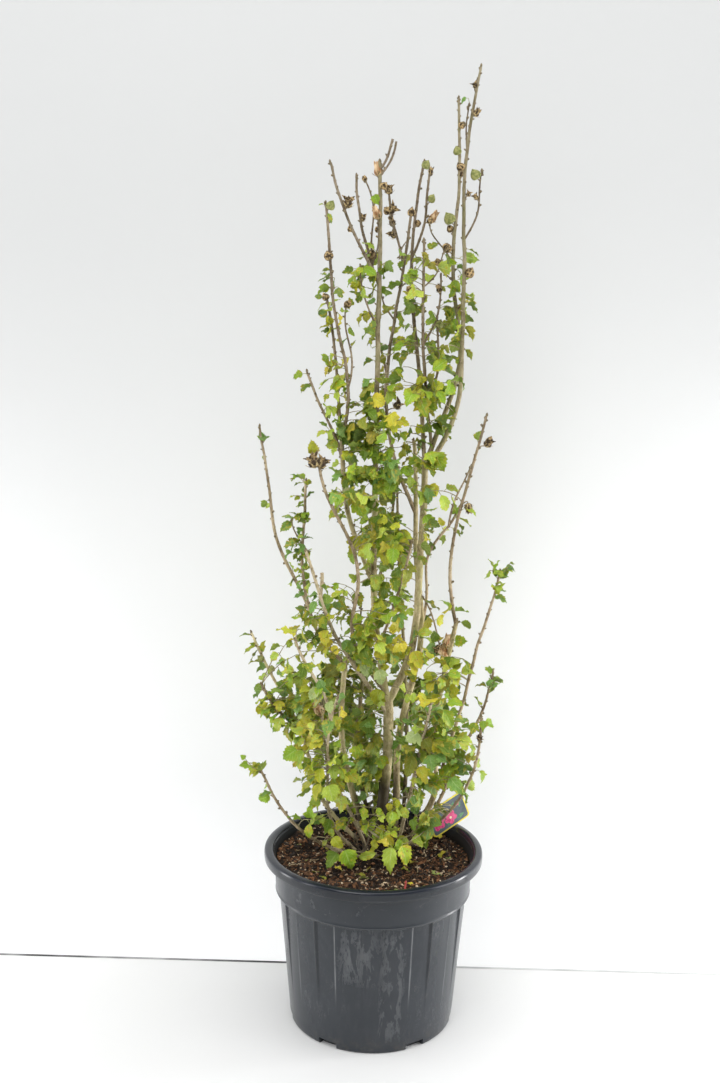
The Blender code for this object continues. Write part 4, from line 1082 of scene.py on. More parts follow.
def pick_tone(mix, source):
    return TONES[int(source.choice(len(TONES), p=np.array(MIXES[mix]) / sum(MIXES[mix])))]


def pick_kind(mix, source):
    share = (0.34, 0.26, 0.40) if mix == "fresh" else (0.48, 0.35, 0.17)
    return list(OUTLINES)[int(source.choice(3, p=share))]


def put_leaf(foliage, source, root, out, ahead, away, length, mix, tone, twig_radius=0.001):
    """One leaf on its stalk. out points off the twig, away points out of the crown."""
    fresh = mix == "fresh"
    stalk = length * source.uniform(0.16, 0.42) * (0.6 if fresh else 1.0)
    lift = source.uniform(0.15, 0.9) if fresh else source.uniform(-0.15, 0.75)
    way = unit(out + ahead * lift + 0.25 * away + source.normal(size=3) * 0.22)
    base = root + out * twig_radius + way * stalk
    droop = source.uniform(-0.35, 0.45) if fresh else source.uniform(-0.25, 1.35)
    point = unit(way * 0.75 + 0.35 * away * np.array([1, 1, 0.3]) - UP * droop + source.normal(size=3) * 0.25)
    face = unit(UP * (1.0 - 0.45 * min(1.0, max(0.0, droop))) + away * (0.22 + 0.45 * max(0.0, droop)) + source.normal(size=3) * 0.55)
    width = source.uniform(0.86, 1.16)
    foliage.leaf(root, base, point, face, length, width, tone, pick_kind(mix, source), source)


def crown_axis(z):
    """The middle of the whole shrub at a height, which the leaves turn away from."""
    return np.array([0.01 + 0.045 * smooth(z, 0.9, 1.5), 0.055, z])


def near_limb(samples, target, reach_down=0.6):
    """The limb sample that a twig to this target would grow from: near it, and rather below it than above."""
    gap = samples["at"] - target
    cost = np.linalg.norm(gap, axis=1) + reach_down * np.clip(gap[:, 2] + 0.010, 0, None) + 0.35 * samples["radius"]
    return int(cost.argmin())


def sprig_path(foot, tip, out, ahead, source):
    size = np.linalg.norm(tip - foot)
    t = np.linspace(0, 1, 7)[:, None]
    leave = unit(ahead * 0.7 + out) * size * 0.5
    control = foot + leave
    line = (1 - t) ** 2 * foot + 2 * t * (1 - t) * control + t**2 * tip
    return line + source.normal(size=(7, 3)) * size * 0.012 * np.sin(np.pi * t)


def grow_crown(limbs, nodes, foliage):
    """Fills each mass with sprigs that start on the nearest limb, leafy along their outer part."""
    samples = {
        "at": np.concatenate([n["at"] for n in nodes.values()]),
        "ahead": np.concatenate([n["ahead"] for n in nodes.values()]),
        "radius": np.concatenate([n["radius"] for n in nodes.values()]),
    }
    paths, radii = [], []
    for name, (centre, half, lean, density, sizes, mix) in CROWN.items():
        source = dice("crown " + name)
        middle, half = np.array(centre) * MM, np.array(half) * MM
        litres = 4 / 3 * math.pi * half.prod() * 1000
        wanted = density * litres * THINNED.get(mix, 1.0)
        placed, tries = 0, 0
        while placed < wanted and tries < 4000:
            tries += 1
            q = unit(source.normal(size=3)) * source.random() ** 0.42
            target = middle + q * half * 0.97
            target[0] += (target[2] - middle[2]) * math.tan(math.radians(lean))
            if target[2] < SOIL_TOP + 0.012:
                continue
            k = near_limb(samples, target)
            foot, ahead = samples["at"][k], samples["ahead"][k]
            span = np.linalg.norm(target - foot)
            if span > 0.115:
                target = foot + (target - foot) * 0.115 / span
                span = 0.115
            out = across(target - foot + 1e-6, ahead)
            away = unit((target - crown_axis(target[2])) * np.array([1, 1, 0.25]))
            tone = pick_tone(mix, source)
            length = source.uniform(GROWTH[mix][0] * sizes[0], GROWTH[mix][1] * sizes[1]) * MM
            if span < 0.020:
                count = source.integers(1, 4)
                for index in range(count):
                    turn = unit(out + source.normal(size=3) * 0.8)
                    put_leaf(foliage, source, foot + ahead * 0.002 * index, turn, ahead, away, length * source.uniform(0.75, 1.08), mix, tone, samples["radius"][k])
                placed += count
                continue
            line = sprig_path(foot, target, out, ahead, source)
            thick = 0.0007 + 0.008 * span
            paths.append(line)
            radii.append(np.linspace(thick, 0.0006, 7))
            count = int(np.clip(span / 0.0145 * source.uniform(0.8, 1.25), 2, 8))
            turn = source.uniform(0, TAU)
            second = pick_tone(mix, source) if source.random() < 0.45 else tone
            for index in range(count):
                share = 1.0 - (index + 0.2) / count * source.uniform(0.62, 0.86)
                f = share * 6
                i = min(5, int(f))
                here = line[i] + (line[i + 1] - line[i]) * (f - i)
                way = unit(line[i + 1] - line[i])
                ref = across(np.array([0.3, 0.2, 1.0]), way)
                turn += math.radians(144) + source.normal() * 0.3
                side = math.cos(turn) * ref + math.sin(turn) * np.cross(way, ref)
                if index == 0:
                    side = unit(way + 0.5 * side)
                size = length * source.uniform(0.72, 1.10) * (0.80 + 0.2 * share if index else 0.86)
                put_leaf(foliage, source, here, unit(side + 0.35 * away), way, away, size, mix, tone if source.random() < 0.6 else second, 0.0008)
            placed += count
    for limb_name, low, high, rate, sizes, mix in ALONG:
        source = dice(f"along {limb_name} {low}")
        n = nodes[limb_name]
        for k in range(len(n["t"])):
            z = n["at"][k, 2]
            if not low <= z <= high or n["at"][k, 2] < SOIL_TOP + 0.02:
                continue
            count = int(source.poisson(rate))
            if not count:
                continue
            away = unit((n["at"][k] - crown_axis(z)) * np.array([1, 1, 0.2]) + 1e-6)
            tone = pick_tone(mix, source)
            spur = unit(n["out"][k] + n["ahead"][k] * 0.6) * source.uniform(0.002, 0.008)
            root = n["at"][k] + n["out"][k] * n["radius"][k] * 0.8
            if count > 1:
                paths.append(root + np.linspace(0, 1, 7)[:, None] * spur)
                radii.append(np.full(7, 0.0011))
            for index in range(count):
                out = unit(n["out"][k] + source.normal(size=3) * (0.25 if count == 1 else 0.7))
                put_leaf(foliage, source, root + spur * (index / max(1, count - 1)), out, n["ahead"][k], away, source.uniform(*sizes) * MM, mix, tone, 0.0008)
    source = dice("single leaves")
    for base, tip, width, tone, kind in SINGLE:
        base, tip = np.array(base) * MM, np.array(tip) * MM
        k = near_limb(samples, base, 0.3)
        root = samples["at"][k]
        span = np.linalg.norm(base - root)
        if span > 0.045:
            out = across(base - root, samples["ahead"][k])
            line = sprig_path(root, root + (base - root) * (1 - 0.014 / span), out, samples["ahead"][k], source)
            paths.append(line)
            radii.append(np.linspace(0.0007 + 0.008 * span, 0.0006, 7))
            root = line[-1]
        ahead = tip - base
        face = np.array([0.05, -0.80, 0.5]) + source.normal(size=3) * 0.34
        foliage.leaf(root, base, ahead, face, np.linalg.norm(ahead), width, tone, kind, source, chosen=True)
    return np.array(paths), np.array(radii)


def build_petioles(foliage):
    """Leaf stalks, each a little curve from the twig into the blade's midrib."""
    root = np.array([p[0] for p in foliage.petioles])
    base = np.array([p[1] for p in foliage.petioles])
    ahead = unit(np.array([p[2] for p in foliage.petioles]))
    size = np.linalg.norm(base - root, axis=1)[:, None]
    t = np.linspace(0, 1, 4)[None, :, None]
    control = base - ahead * size * 0.45
    end = base + ahead * 0.0012
    line = (1 - t) ** 2 * root[:, None] + 2 * t * (1 - t) * control[:, None] + t**2 * end[:, None]
    radii = np.linspace(0.00075, 0.00048, 4)[None] * np.ones((len(root), 1))
    heap = Heap()
    tubes(heap, line, radii, 5, caps=False)
    piece("leaf_stalks", heap, [plain_material("stalk_green", (0.20, 0.24, 0.06), (0.34, 0.30, 0.10), 0.5, 60.0, 0.2)])


# ---------------------------------------------------------------- buds, seed heads and spent blooms


def turned_template(profile, sides, shape=None):
    """A closed small mesh turned about +Z. profile is (radius, height) rows; shape(angle, row) scales the radius."""
    rows = len(profile)
    angle = np.arange(sides) / sides * TAU
    verts = []
    for index, (radius, height) in enumerate(profile):
        scale = np.ones(sides) if shape is None else shape(angle, index / (rows - 1))
        verts.append(np.stack([radius * scale * np.cos(angle), radius * scale * np.sin(angle), np.full(sides, height)], 1))
    verts = np.concatenate(verts + [np.array([[0, 0, profile[0][1]], [0, 0, profile[-1][1]]])])
    i, j = np.meshgrid(np.arange(rows - 1), np.arange(sides), indexing="ij")
    k = (j + 1) % sides
    quads = np.stack([i * sides + j, i * sides + k, (i + 1) * sides + k, (i + 1) * sides + j], -1).reshape(-1, 4)
    j = np.arange(sides)
    k = (j + 1) % sides
    low = np.stack([k, j, np.full(sides, rows * sides)], -1)
    high = np.stack([(rows - 1) * sides + j, (rows - 1) * sides + k, np.full(sides, rows * sides + 1)], -1)
    return verts, quads, np.concatenate([low, high])


def strip_template(width, length, rise, curl, cup=0.25, rows=7, columns=3, thick=0.04, tip=0.9, belly=0.4):
    """A closed thin scale, valve, bract or petal that starts at the origin and rises along +Z while leaning out along +X."""
    t = np.linspace(0, 1, rows)
    half = width * np.sin(np.pi * np.clip(t * (1 - 0.04) + 0.04, 0, 1) ** (0.5 + belly)) ** 0.75
    half = np.where(t > tip, half * (1 - t) / (1 - tip) + 0.004, half)
    half[0] = max(half[0], width * 0.35)
    lean = rise + curl * t
    x = np.cumsum(np.concatenate([[0], np.sin(lean[:-1]) * length / (rows - 1)]))
    z = np.cumsum(np.concatenate([[0], np.cos(lean[:-1]) * length / (rows - 1)]))
    u = np.linspace(-1, 1, columns)
    out = np.stack([np.cos(lean), np.zeros(rows), -np.sin(lean)], 1)
    sheets = []
    for side in (1, -1):
        verts = np.empty((rows, columns, 3))
        lift = cup * half[:, None] * (u[None] ** 2) * -1.0 + side * thick * 0.5 * (1 - np.abs(u[None]) ** 4)
        verts[..., 0] = x[:, None] + out[:, 0:1] * lift
        verts[..., 1] = half[:, None] * u[None]
        verts[..., 2] = z[:, None] + out[:, 2:3] * lift
        sheets.append(verts.reshape(-1, 3))
    i, j = np.meshgrid(np.arange(rows - 1), np.arange(columns - 1), indexing="ij")
    quad = np.stack([i * columns + j, i * columns + j + 1, (i + 1) * columns + j + 1, (i + 1) * columns + j], -1).reshape(-1, 4)
    flip = quad[:, ::-1] + rows * columns
    return np.concatenate(sheets), np.concatenate([quad, flip]), np.zeros((0, 3), np.int64)


def around(template, count, start=0.0, offset=0.0, wobble=None, source=None):
    """Copies of a strip set round the +Z axis."""
    verts, quads, tris = [], [], []
    base = 0
    for index in range(count):
        a = start + TAU * index / count + (source.normal() * 0.10 if source is not None else 0)
        v = template[0] * (1 + (source.normal() * 0.10 if source is not None else 0))
        v = v + np.array([offset, 0, 0])
        c, s = math.cos(a), math.sin(a)
        verts.append(np.stack([c * v[:, 0] - s * v[:, 1], s * v[:, 0] + c * v[:, 1], v[:, 2]], 1))
        quads.append(template[1] + base)
        if len(template[2]):
            tris.append(template[2] + base)
        base += len(v)
    return np.concatenate(verts), np.concatenate(quads), np.concatenate(tris) if tris else np.zeros((0, 3), np.int64)


def build_buds(limbs, nodes):
    """A small knuckled bud or short spur at each node, with two or three scales."""
    source = dice("buds")

    def bumps(angle, row):
        return 1 + 0.16 * np.cos(3 * angle + 2.2 * row) + 0.06 * np.cos(5 * angle)

    bud = turned_template([(0.56, -0.3), (0.66, 0.10), (0.58, 0.50), (0.64, 0.75), (0.46, 1.20), (0.10, 1.62)], 7, bumps)
    knob = turned_template([(0.76, -0.3), (0.90, 0.30), (0.78, 0.72), (0.94, 0.98), (0.66, 1.36), (0.14, 1.52)], 7, bumps)
    heap = Heap()
    for name, n in nodes.items():
        m = len(n["t"])
        old = limbs[name]["thick"] > 0.0065
        keep = source.random(m) < (0.35 if old else 0.92)
        knobby = source.random(m) < 0.45
        size = source.uniform(1.7, 2.9, m) * MM * (0.8 if old else 1.0)
        way = unit(n["out"] + n["ahead"] * source.uniform(0.35, 1.1, (m, 1)))
        at = n["at"] + n["out"] * (n["radius"] * 0.85)[:, None]
        x, y = upright(way, source)
        for template, mask in ((bud, keep & ~knobby), (knob, keep & knobby)):
            k = np.flatnonzero(mask)
            long = np.where(mask[k] & (template is bud), source.uniform(0.8, 1.25, len(k)), source.uniform(0.8, 1.5, len(k)))
            stamp(heap, template, at[k], x[k], y[k], way[k], np.stack([size[k], size[k], size[k] * long], 1), source.random(len(k)))
    ends = np.array([limb["tip"] for name, limb in limbs.items() if "stub" not in name and "cut_tip" not in name])
    lead = np.array([unit(limb_line(limb, 1.0) - limb_line(limb, 0.985)) for name, limb in limbs.items() if "stub" not in name and "cut_tip" not in name])
    x, y = upright(lead, source)
    stamp(heap, bud, ends - lead * 0.0005, x, y, lead, np.full(len(ends), 0.0034), source.random(len(ends)))
    for lap in range(3):
        turn = lap * 2.2 + source.uniform(0, TAU, len(ends))
        side = np.cos(turn)[:, None] * x + np.sin(turn)[:, None] * y
        way = unit(lead + side * 0.8)
        sx, sy = upright(way, source)
        stamp(heap, knob if lap == 1 else bud, ends - lead * (0.0015 + 0.0030 * lap) + side * 0.0013, sx, sy, way, source.uniform(2.0, 3.0, len(ends)) * MM, source.random(len(ends)))
    piece("buds", heap, [plain_material("bud_scale", (0.085, 0.062, 0.032), (0.300, 0.245, 0.145), 0.75, 420.0, 0.6)])


# Seed heads and spent blooms: limb, share, offset from the limb in mm (x, z), what it is, size in mm
HEADS = [
    ("shoot_top_left", 0.66, (10, 8), "open", 23), ("bough_left_top", 0.785, (-3, 1), "brown", 17), ("shoot_top_left_rear", 0.283, (4, 3), "brown", 19),
    ("shoot_middle_left", 0.985, (-1, 2), "open", 20), ("leader_left", 0.955, (7, 2), "brown", 14), ("shoot_middle_left", 0.735, (5, 1), "open", 24),
    ("shoot_middle_left", 0.70, (-7, 2), "brown", 15), ("shoot_middle_left", 0.585, (-2, 1), "split", 17), ("shoot_middle_left", 0.42, (-7, 0), "open", 18),
    ("bough_middle", 0.985, (0, 3), "brown", 15), ("shoot_middle", 0.805, (6, 2), "brown", 14), ("leader_right_top", 0.925, (5, 3), "brown", 13),
    ("shoot_tall", 0.890, (8, 2), "split", 18), ("shoot_tall", 0.955, (-5, 2), "open", 14), ("tall_side", 0.93, (-11, 2), "green", 21),
    ("leader_right_top", 0.655, (-9, 6), "brown", 14), ("leader_right_top", 0.605, (-12, 5), "brown", 18), ("top_low", 0.93, (0, 2), "brown", 14),
    ("front_inner", 0.80, (-4, 1), "split", 17), ("shoot_tall", 0.512, (10, 4), "brown", 19), ("bough_left_front", 0.985, (-12, 8), "open", 29),
    ("bough_left_front", 0.985, (6, 3), "open", 25), ("shoot_left_rear", 0.985, (-2, 3), "brown", 14), ("left_third", 0.97, (4, 3), "brown", 14),
    ("bough_middle", 0.375, (24, 6), "open", 22), ("bough_right", 0.872, (18, 2), "open", 20), ("bough_right", 0.60, (12, -14), "hang", 21),
    ("back_side", 0.97, (2, 4), "bloom", 26), ("back_side", 0.90, (-8, 2), "open", 18), ("stem_right", 0.89, (-7, 6), "bloom", 22),
    ("stem_right_low", 0.87, (-1, 1), "split", 17), ("bough_left_top", 0.985, (8, 2), "green", 18), ("shoot_middle", 0.985, (5, 2), "green", 18),
    ("shoot_middle_side", 0.665, (8, 3), "green", 17), ("leader_right_top", 0.68, (-13, 6), "green", 24), ("leader_right_top", 0.86, (-4, 3), "green", 17),
    ("stem_left_long", 0.865, (-6, 3), "green", 15), ("stem_left_long", 0.81, (4, 5), "green", 14), ("leader_left", 0.985, (-3, 1), "bloom", 22),
    ("left_short", 0.97, (-2, 2), "bloom", 20), ("shoot_middle_side", 0.46, (16, 4), "bloom", 19), ("stem_front_left", 0.955, (-7, 4), "bloom", 24),
    ("stem_front_left", 0.86, (4, 4), "bloom", 16), ("shoot_middle_side", 0.985, (2, 2), "split", 14), ("top_inner", 0.97, (0, 3), "brown", 12),
    ("front_high", 0.97, (1, 3), "brown", 12), ("shoot_top_left", 0.45, (-6, 4), "brown", 11), ("leader_right_top", 0.80, (5, 3), "brown", 10),
    ("tall_side", 0.62, (-8, 2), "open", 13), ("left_inner", 0.98, (0, 2), "brown", 10), ("leader_right_top", 0.45, (7, 4), "brown", 13),
    ("shoot_tall", 0.76, (-9, 2), "brown", 16), ("shoot_tall", 0.70, (9, 2), "open", 12), ("shoot_middle", 0.60, (-6, 2), "brown", 12),
    ("leader_left", 0.88, (-5, 2), "brown", 11), ("shoot_top_left_rear", 0.62, (5, 2), "open", 14), ("front_side", 0.92, (3, 2), "green", 18),
]


def build_heads(limbs):
    source = dice("heads")

    def ribs(angle, row):
        return 1 + 0.085 * np.cos(5 * angle) * math.sin(math.pi * min(1.0, row + 0.08))

    pod_profile = [(0.20, 0.0), (0.36, 0.05), (0.46, 0.16), (0.50, 0.32), (0.48, 0.50), (0.41, 0.66), (0.30, 0.80), (0.19, 0.90), (0.09, 0.98), (0.03, 1.06)]
    pod = turned_template(pod_profile, 15, ribs)
    calyx = around(strip_template(0.20, 0.46, 0.42, -0.30, cup=0.25, thick=0.03, tip=0.7), 5, 0.2, 0.16, source=source)
    bracts = around(strip_template(0.045, 0.46, 1.15, -0.7, cup=0.1, rows=5, columns=3, thick=0.03, tip=0.8), 7, 0.0, 0.10, source=source)
    valves = around(strip_template(0.26, 0.84, 0.16, 0.80, cup=0.55, rows=8, columns=5, thick=0.05, tip=0.80, belly=0.20), 5, 0.6, 0.07, source=source)
    ajar = around(strip_template(0.27, 0.92, 0.32, -0.22, cup=0.55, rows=8, columns=5, thick=0.05, tip=0.78, belly=0.20), 5, 0.6, 0.06, source=source)
    seeds = turned_template([(0.12, 0.02), (0.26, 0.12), (0.30, 0.30), (0.22, 0.46), (0.06, 0.56)], 9, lambda a, r: 1 + 0.18 * np.cos(5 * a))
    petals = around(strip_template(0.30, 1.0, 0.42, -0.75, cup=0.8, rows=9, columns=5, thick=0.03, tip=0.95, belly=0.1), 5, 0.3, 0.06, source=source)
    inner = around(strip_template(0.24, 0.90, 0.20, -0.45, cup=0.9, rows=9, columns=5, thick=0.03, tip=0.95, belly=0.1), 4, 0.9, 0.03, source=source)
    heaps = {"pods_brown": Heap(), "pods_green": Heap(), "pods_dark": Heap(), "pod_bracts": Heap(), "blooms_dried": Heap()}
    stalks, widths = [], []
    for limb_name, share, (dx, dz), kind, size in HEADS:
        limb = limbs[limb_name]
        foot = limb_line(limb, share)
        ahead = unit(limb_line(limb, min(1, share + 0.01)) - limb_line(limb, max(0, share - 0.01)))
        size = size * {"bloom": 1.28, "open": 1.20, "split": 1.15, "hang": 1.15, "brown": 1.02, "green": 0.94}[kind] * MM
        # the stalk leaves the limb a little lower and ends under the head
        spread = np.array([dx * MM, source.uniform(-4, 4) * MM, dz * MM])
        base = foot + spread
        start = limb_line(limb, max(0.0, share - 0.010 / limb["length"]))
        if kind == "hang":
            way = unit(np.array([0.10, 0.0, -1.0]) + source.normal(size=3) * 0.1)
        elif kind == "open":
            way = unit(ahead + 0.9 * unit(spread + 1e-6) + source.normal(size=3) * 0.35)
        else:
            way = unit(ahead + 0.7 * unit(spread + 1e-6) + source.normal(size=3) * 0.22)
        base = base - way * size * 0.45
        x, y = upright(way[None], source)
        at, z, scale, tag = base[None], way[None], np.array([size]), source.random(1)
        t = np.linspace(0, 1, 7)[:, None]
        middle = start + unit(ahead + unit(spread + 1e-6)) * np.linalg.norm(base - start) * 0.5
        if kind == "hang":
            middle = (start + base) / 2 + np.array([0.006, 0, 0.014])
        stalks.append((1 - t) ** 2 * start + 2 * t * (1 - t) * middle + t**2 * (base + way * 0.001))
        widths.append(np.linspace(0.0013, 0.0011, 7))
        if kind == "bloom":
            stamp(heaps["blooms_dried"], petals, at, x, y, z, scale, tag)
            stamp(heaps["blooms_dried"], inner, at, x, y, z, scale, tag)
            stamp(heaps["pod_bracts"], calyx, at, x, y, z, scale * 0.9, tag)
            stamp(heaps["pod_bracts"], bracts, at, x, y, z, scale * 0.9, tag)
            continue
        if kind in ("open", "split", "hang"):
            stamp(heaps["pods_brown"], valves if kind == "open" else ajar, at, x, y, z, scale, tag)
            stamp(heaps["pods_dark"], seeds, at, x, y, z, scale, tag)
        else:
            stamp(heaps["pods_green" if kind == "green" else "pods_brown"], pod, at, x, y, z, scale, tag)
        stamp(heaps["pods_green" if kind == "green" else "pod_bracts"], calyx, at, x, y, z, scale, tag)
        stamp(heaps["pods_green" if kind == "green" else "pod_bracts"], bracts, at, x, y, z, scale, tag)
    made = {
        "pods_brown": plain_material("pod_brown", (0.036, 0.022, 0.009), (0.500, 0.352, 0.160), 0.75, 190.0, 0.9, 0.0012, low=0.40, high=0.64),
        "pods_green": plain_material("pod_green", (0.140, 0.165, 0.040), (0.330, 0.330, 0.110), 0.6, 190.0, 0.4, 0.0006),
        "pods_dark": plain_material("pod_inside", (0.030, 0.020, 0.012), (0.090, 0.060, 0.035), 0.85, 500.0, 0.6, 0.0008),
        "pod_bracts": plain_material("pod_bract", (0.090, 0.062, 0.026), (0.560, 0.420, 0.200), 0.7, 220.0, 0.5, 0.0008),
        "blooms_dried": plain_material("bloom_dried", (0.340, 0.165, 0.065), (0.780, 0.590, 0.360), 0.7, 150.0, 0.7, 0.0010, stretch=0.5),
    }
    for name, heap in heaps.items():
        if heap.count:
            piece(name, heap, [made[name]])
    return np.array(stalks), np.array(widths)


def build_sprigs(paths, radii, stalks, widths):
    heap = Heap()
    lengths = np.linalg.norm(paths[:, -1] - paths[:, 0], axis=1)
    tubes(heap, paths, radii, 6)
    piece("sprigs", heap, [bark_material("sprig_bark", (0.130, 0.110, 0.060), (0.280, 0.235, 0.130), (0.420, 0.370, 0.230), moss=0.35, scale=420.0)])
    heap = Heap()
    tubes(heap, stalks, widths, 7)
    piece("head_stalks", heap, [plain_material("head_stalk", (0.17, 0.13, 0.075), (0.38, 0.31, 0.19), 0.75, 300.0, 0.5)])


# ---------------------------------------------------------------- pot

POT_HEIGHT, LIP_RADIUS, LIP_INNER_RADIUS, LIP_BASE = 0.3470, 0.2150, 0.1975, 0.3272
COLLAR_TOP_RADIUS, COLLAR_FOOT_RADIUS, COLLAR_FOOT = 0.1950, 0.1918, 0.2640
BODY_TOP, BODY_TOP_RADIUS, BASE_RADIUS, BASE_ROUND, WALL = 0.2600, 0.1842, 0.1613, 0.0035, 0.0085
FLUTE_PITCH, FLUTE_HALF, FLUTE_FADE, FLUTE_DEPTH = 30.0, 6.2, 0.065, 0.0034
NOTCH_ANGLES, NOTCH_WIDTH, NOTCH_DEPTH, NOTCH_HEIGHT = (31.0, 80.0, 129.0, 180.0, -129.0, -80.0, -31.0), 0.038, 0.012, 0.0125


def body_radius(z):
    return BASE_RADIUS + (BODY_TOP_RADIUS - BASE_RADIUS) * z / BODY_TOP


def build_pot():
    """The moulded tub: rolled lip, plain collar with a lower edge, fluted sides that fade out downwards, and notches in the foot."""
    half_notch = math.degrees(NOTCH_WIDTH / 2 / BASE_RADIUS)
    angles = set(np.round(np.arange(0, 360, 1.5), 3))
    for a in NOTCH_ANGLES:
        for edge in (-half_notch, half_notch):
            for nudge in (-0.10, 0.10):
                angles.add(round((a + edge + nudge) % 360, 3))
    for a in np.arange(0, 360, FLUTE_PITCH):
        for side in (-1, 1):
            for nudge in (-1.30, -0.78, -0.39, 0.0, 0.39, 0.78, 1.30):
                angles.add(round(float(a + side * FLUTE_HALF + nudge) % 360, 3))
    angles = np.array(sorted(angles))
    keep = np.concatenate([[True], np.diff(angles) > 0.08])
    angles = angles[keep]

    rows = []  # radius, height, part: 0 inside and lip, 1 collar, 2 body, 3 underside
    inner_low = (COLLAR_FOOT_RADIUS - 0.0045, 0.290)
    rows += [(inner_low[0], inner_low[1], 4), (COLLAR_TOP_RADIUS - 0.0040, LIP_BASE - 0.004, 4), (COLLAR_TOP_RADIUS - 0.0036, LIP_BASE + 0.0016, 4), (COLLAR_TOP_RADIUS - 0.0012, LIP_BASE + 0.0075, 4)]
    rows += [(LIP_INNER_RADIUS - 0.0010, LIP_BASE + 0.0140, 4), (LIP_INNER_RADIUS - 0.0002, POT_HEIGHT - 0.0052, 0)]
    # the rolled lip, as an arc from its inner side over the top to its outer side
    for a in np.linspace(175, 72, 9):
        rows.append((LIP_INNER_RADIUS + 0.0080 + 0.0080 * math.cos(math.radians(a)), POT_HEIGHT - 0.0042 + 0.0042 * math.sin(math.radians(a)), 0))
    for a in np.linspace(58, 6, 6):
        rows.append((LIP_RADIUS - 0.0046 + 0.0044 * math.cos(math.radians(a)), POT_HEIGHT - 0.0056 + 0.0054 * math.sin(math.radians(a)), 0))
    rows += [(LIP_RADIUS - 0.0001, POT_HEIGHT - 0.0074, 0), (LIP_RADIUS, POT_HEIGHT - 0.0100, 0), (LIP_RADIUS - 0.0002, LIP_BASE + 0.0060, 0), (LIP_RADIUS - 0.0005, LIP_BASE + 0.0016, 0), (LIP_RADIUS - 0.0013, LIP_BASE + 0.0004, 0), (LIP_RADIUS - 0.0030, LIP_BASE, 0)]
    rows += [(LIP_RADIUS - 0.0052, LIP_BASE + 0.0010, 0), (LIP_RADIUS - 0.0066, LIP_BASE + 0.0036, 0), (COLLAR_TOP_RADIUS + 0.0050, LIP_BASE + 0.0036, 0), (COLLAR_TOP_RADIUS + 0.0010, LIP_BASE + 0.0012, 1), (COLLAR_TOP_RADIUS, LIP_BASE - 0.0022, 1)]
    for share in np.linspace(0.08, 0.94, 12):
        z = LIP_BASE + (COLLAR_FOOT - LIP_BASE) * share
        rows.append((COLLAR_TOP_RADIUS + (COLLAR_FOOT_RADIUS - COLLAR_TOP_RADIUS) * share, z, 1))
    rows += [(COLLAR_FOOT_RADIUS + 0.0006, COLLAR_FOOT + 0.0030, 1), (COLLAR_FOOT_RADIUS + 0.0009, COLLAR_FOOT + 0.0016, 1), (COLLAR_FOOT_RADIUS + 0.0004, COLLAR_FOOT + 0.0003, 1), (COLLAR_FOOT_RADIUS - 0.0014, COLLAR_FOOT - 0.0006, 1)]
    rows += [(BODY_TOP_RADIUS + 0.0018, BODY_TOP + 0.0008, 2), (BODY_TOP_RADIUS + 0.0002, BODY_TOP - 0.0008, 2)]
    heights = list(np.linspace(BODY_TOP - 0.004, 0.016, 34)) + [NOTCH_HEIGHT + 0.0012, NOTCH_HEIGHT + 0.0002, NOTCH_HEIGHT - 0.0002, 0.008, BASE_ROUND]
    rows += [(body_radius(z), z, 2) for z in heights]
    for a in (25, 50, 72):
        rows.append((BASE_RADIUS - BASE_ROUND + BASE_ROUND * math.cos(math.radians(a)), BASE_ROUND - BASE_ROUND * math.sin(math.radians(a)), 3))
    rows += [(BASE_RADIUS - BASE_ROUND, 0.0, 3), (BASE_RADIUS - 0.0125, 0.0, 3), (BASE_RADIUS - 0.0160, 0.0, 3), (BASE_RADIUS - 0.0180, 0.0022, 3), (0.120, 0.0026, 3), (0.070, 0.0026, 3), (0.066, 0.0012, 3), (0.030, 0.0012, 3), (0.002, 0.0012, 3)]
    rows = np.array(rows)
    radius, height, part = rows[:, 0][:, None], rows[:, 1][:, None], rows[:, 2][:, None]
    n, m = len(rows), len(angles)
    r = np.repeat(radius, m, 1)
    z = np.repeat(height, m, 1)
    off = np.abs((angles + FLUTE_PITCH / 2) % FLUTE_PITCH - FLUTE_PITCH / 2)
    groove = smooth(off, FLUTE_HALF + 0.78, FLUTE_HALF - 0.78)
    fade = np.clip((z - FLUTE_FADE) / (BODY_TOP - FLUTE_FADE), 0, 1)
    top = smooth(z, BODY_TOP + 0.0004, BODY_TOP - 0.004)
    r = r - np.where(part == 2, FLUTE_DEPTH * groove[None] * fade * (0.35 + 0.65 * top), 0)
    # each edge of a groove stands up a little
    ridge = np.exp(-(((off - FLUTE_HALF - 0.9) / 0.6) ** 2))
    r = r + np.where(part == 2, 0.0006 * ridge[None] * fade, 0)
    # notches
    gap = np.min([np.abs((angles - a + 180) % 360 - 180) for a in NOTCH_ANGLES], 0)
    inside = gap < half_notch
    cut = inside[None] & (z < NOTCH_HEIGHT)
    r = np.where(cut, np.minimum(r, BASE_RADIUS - NOTCH_DEPTH), r)
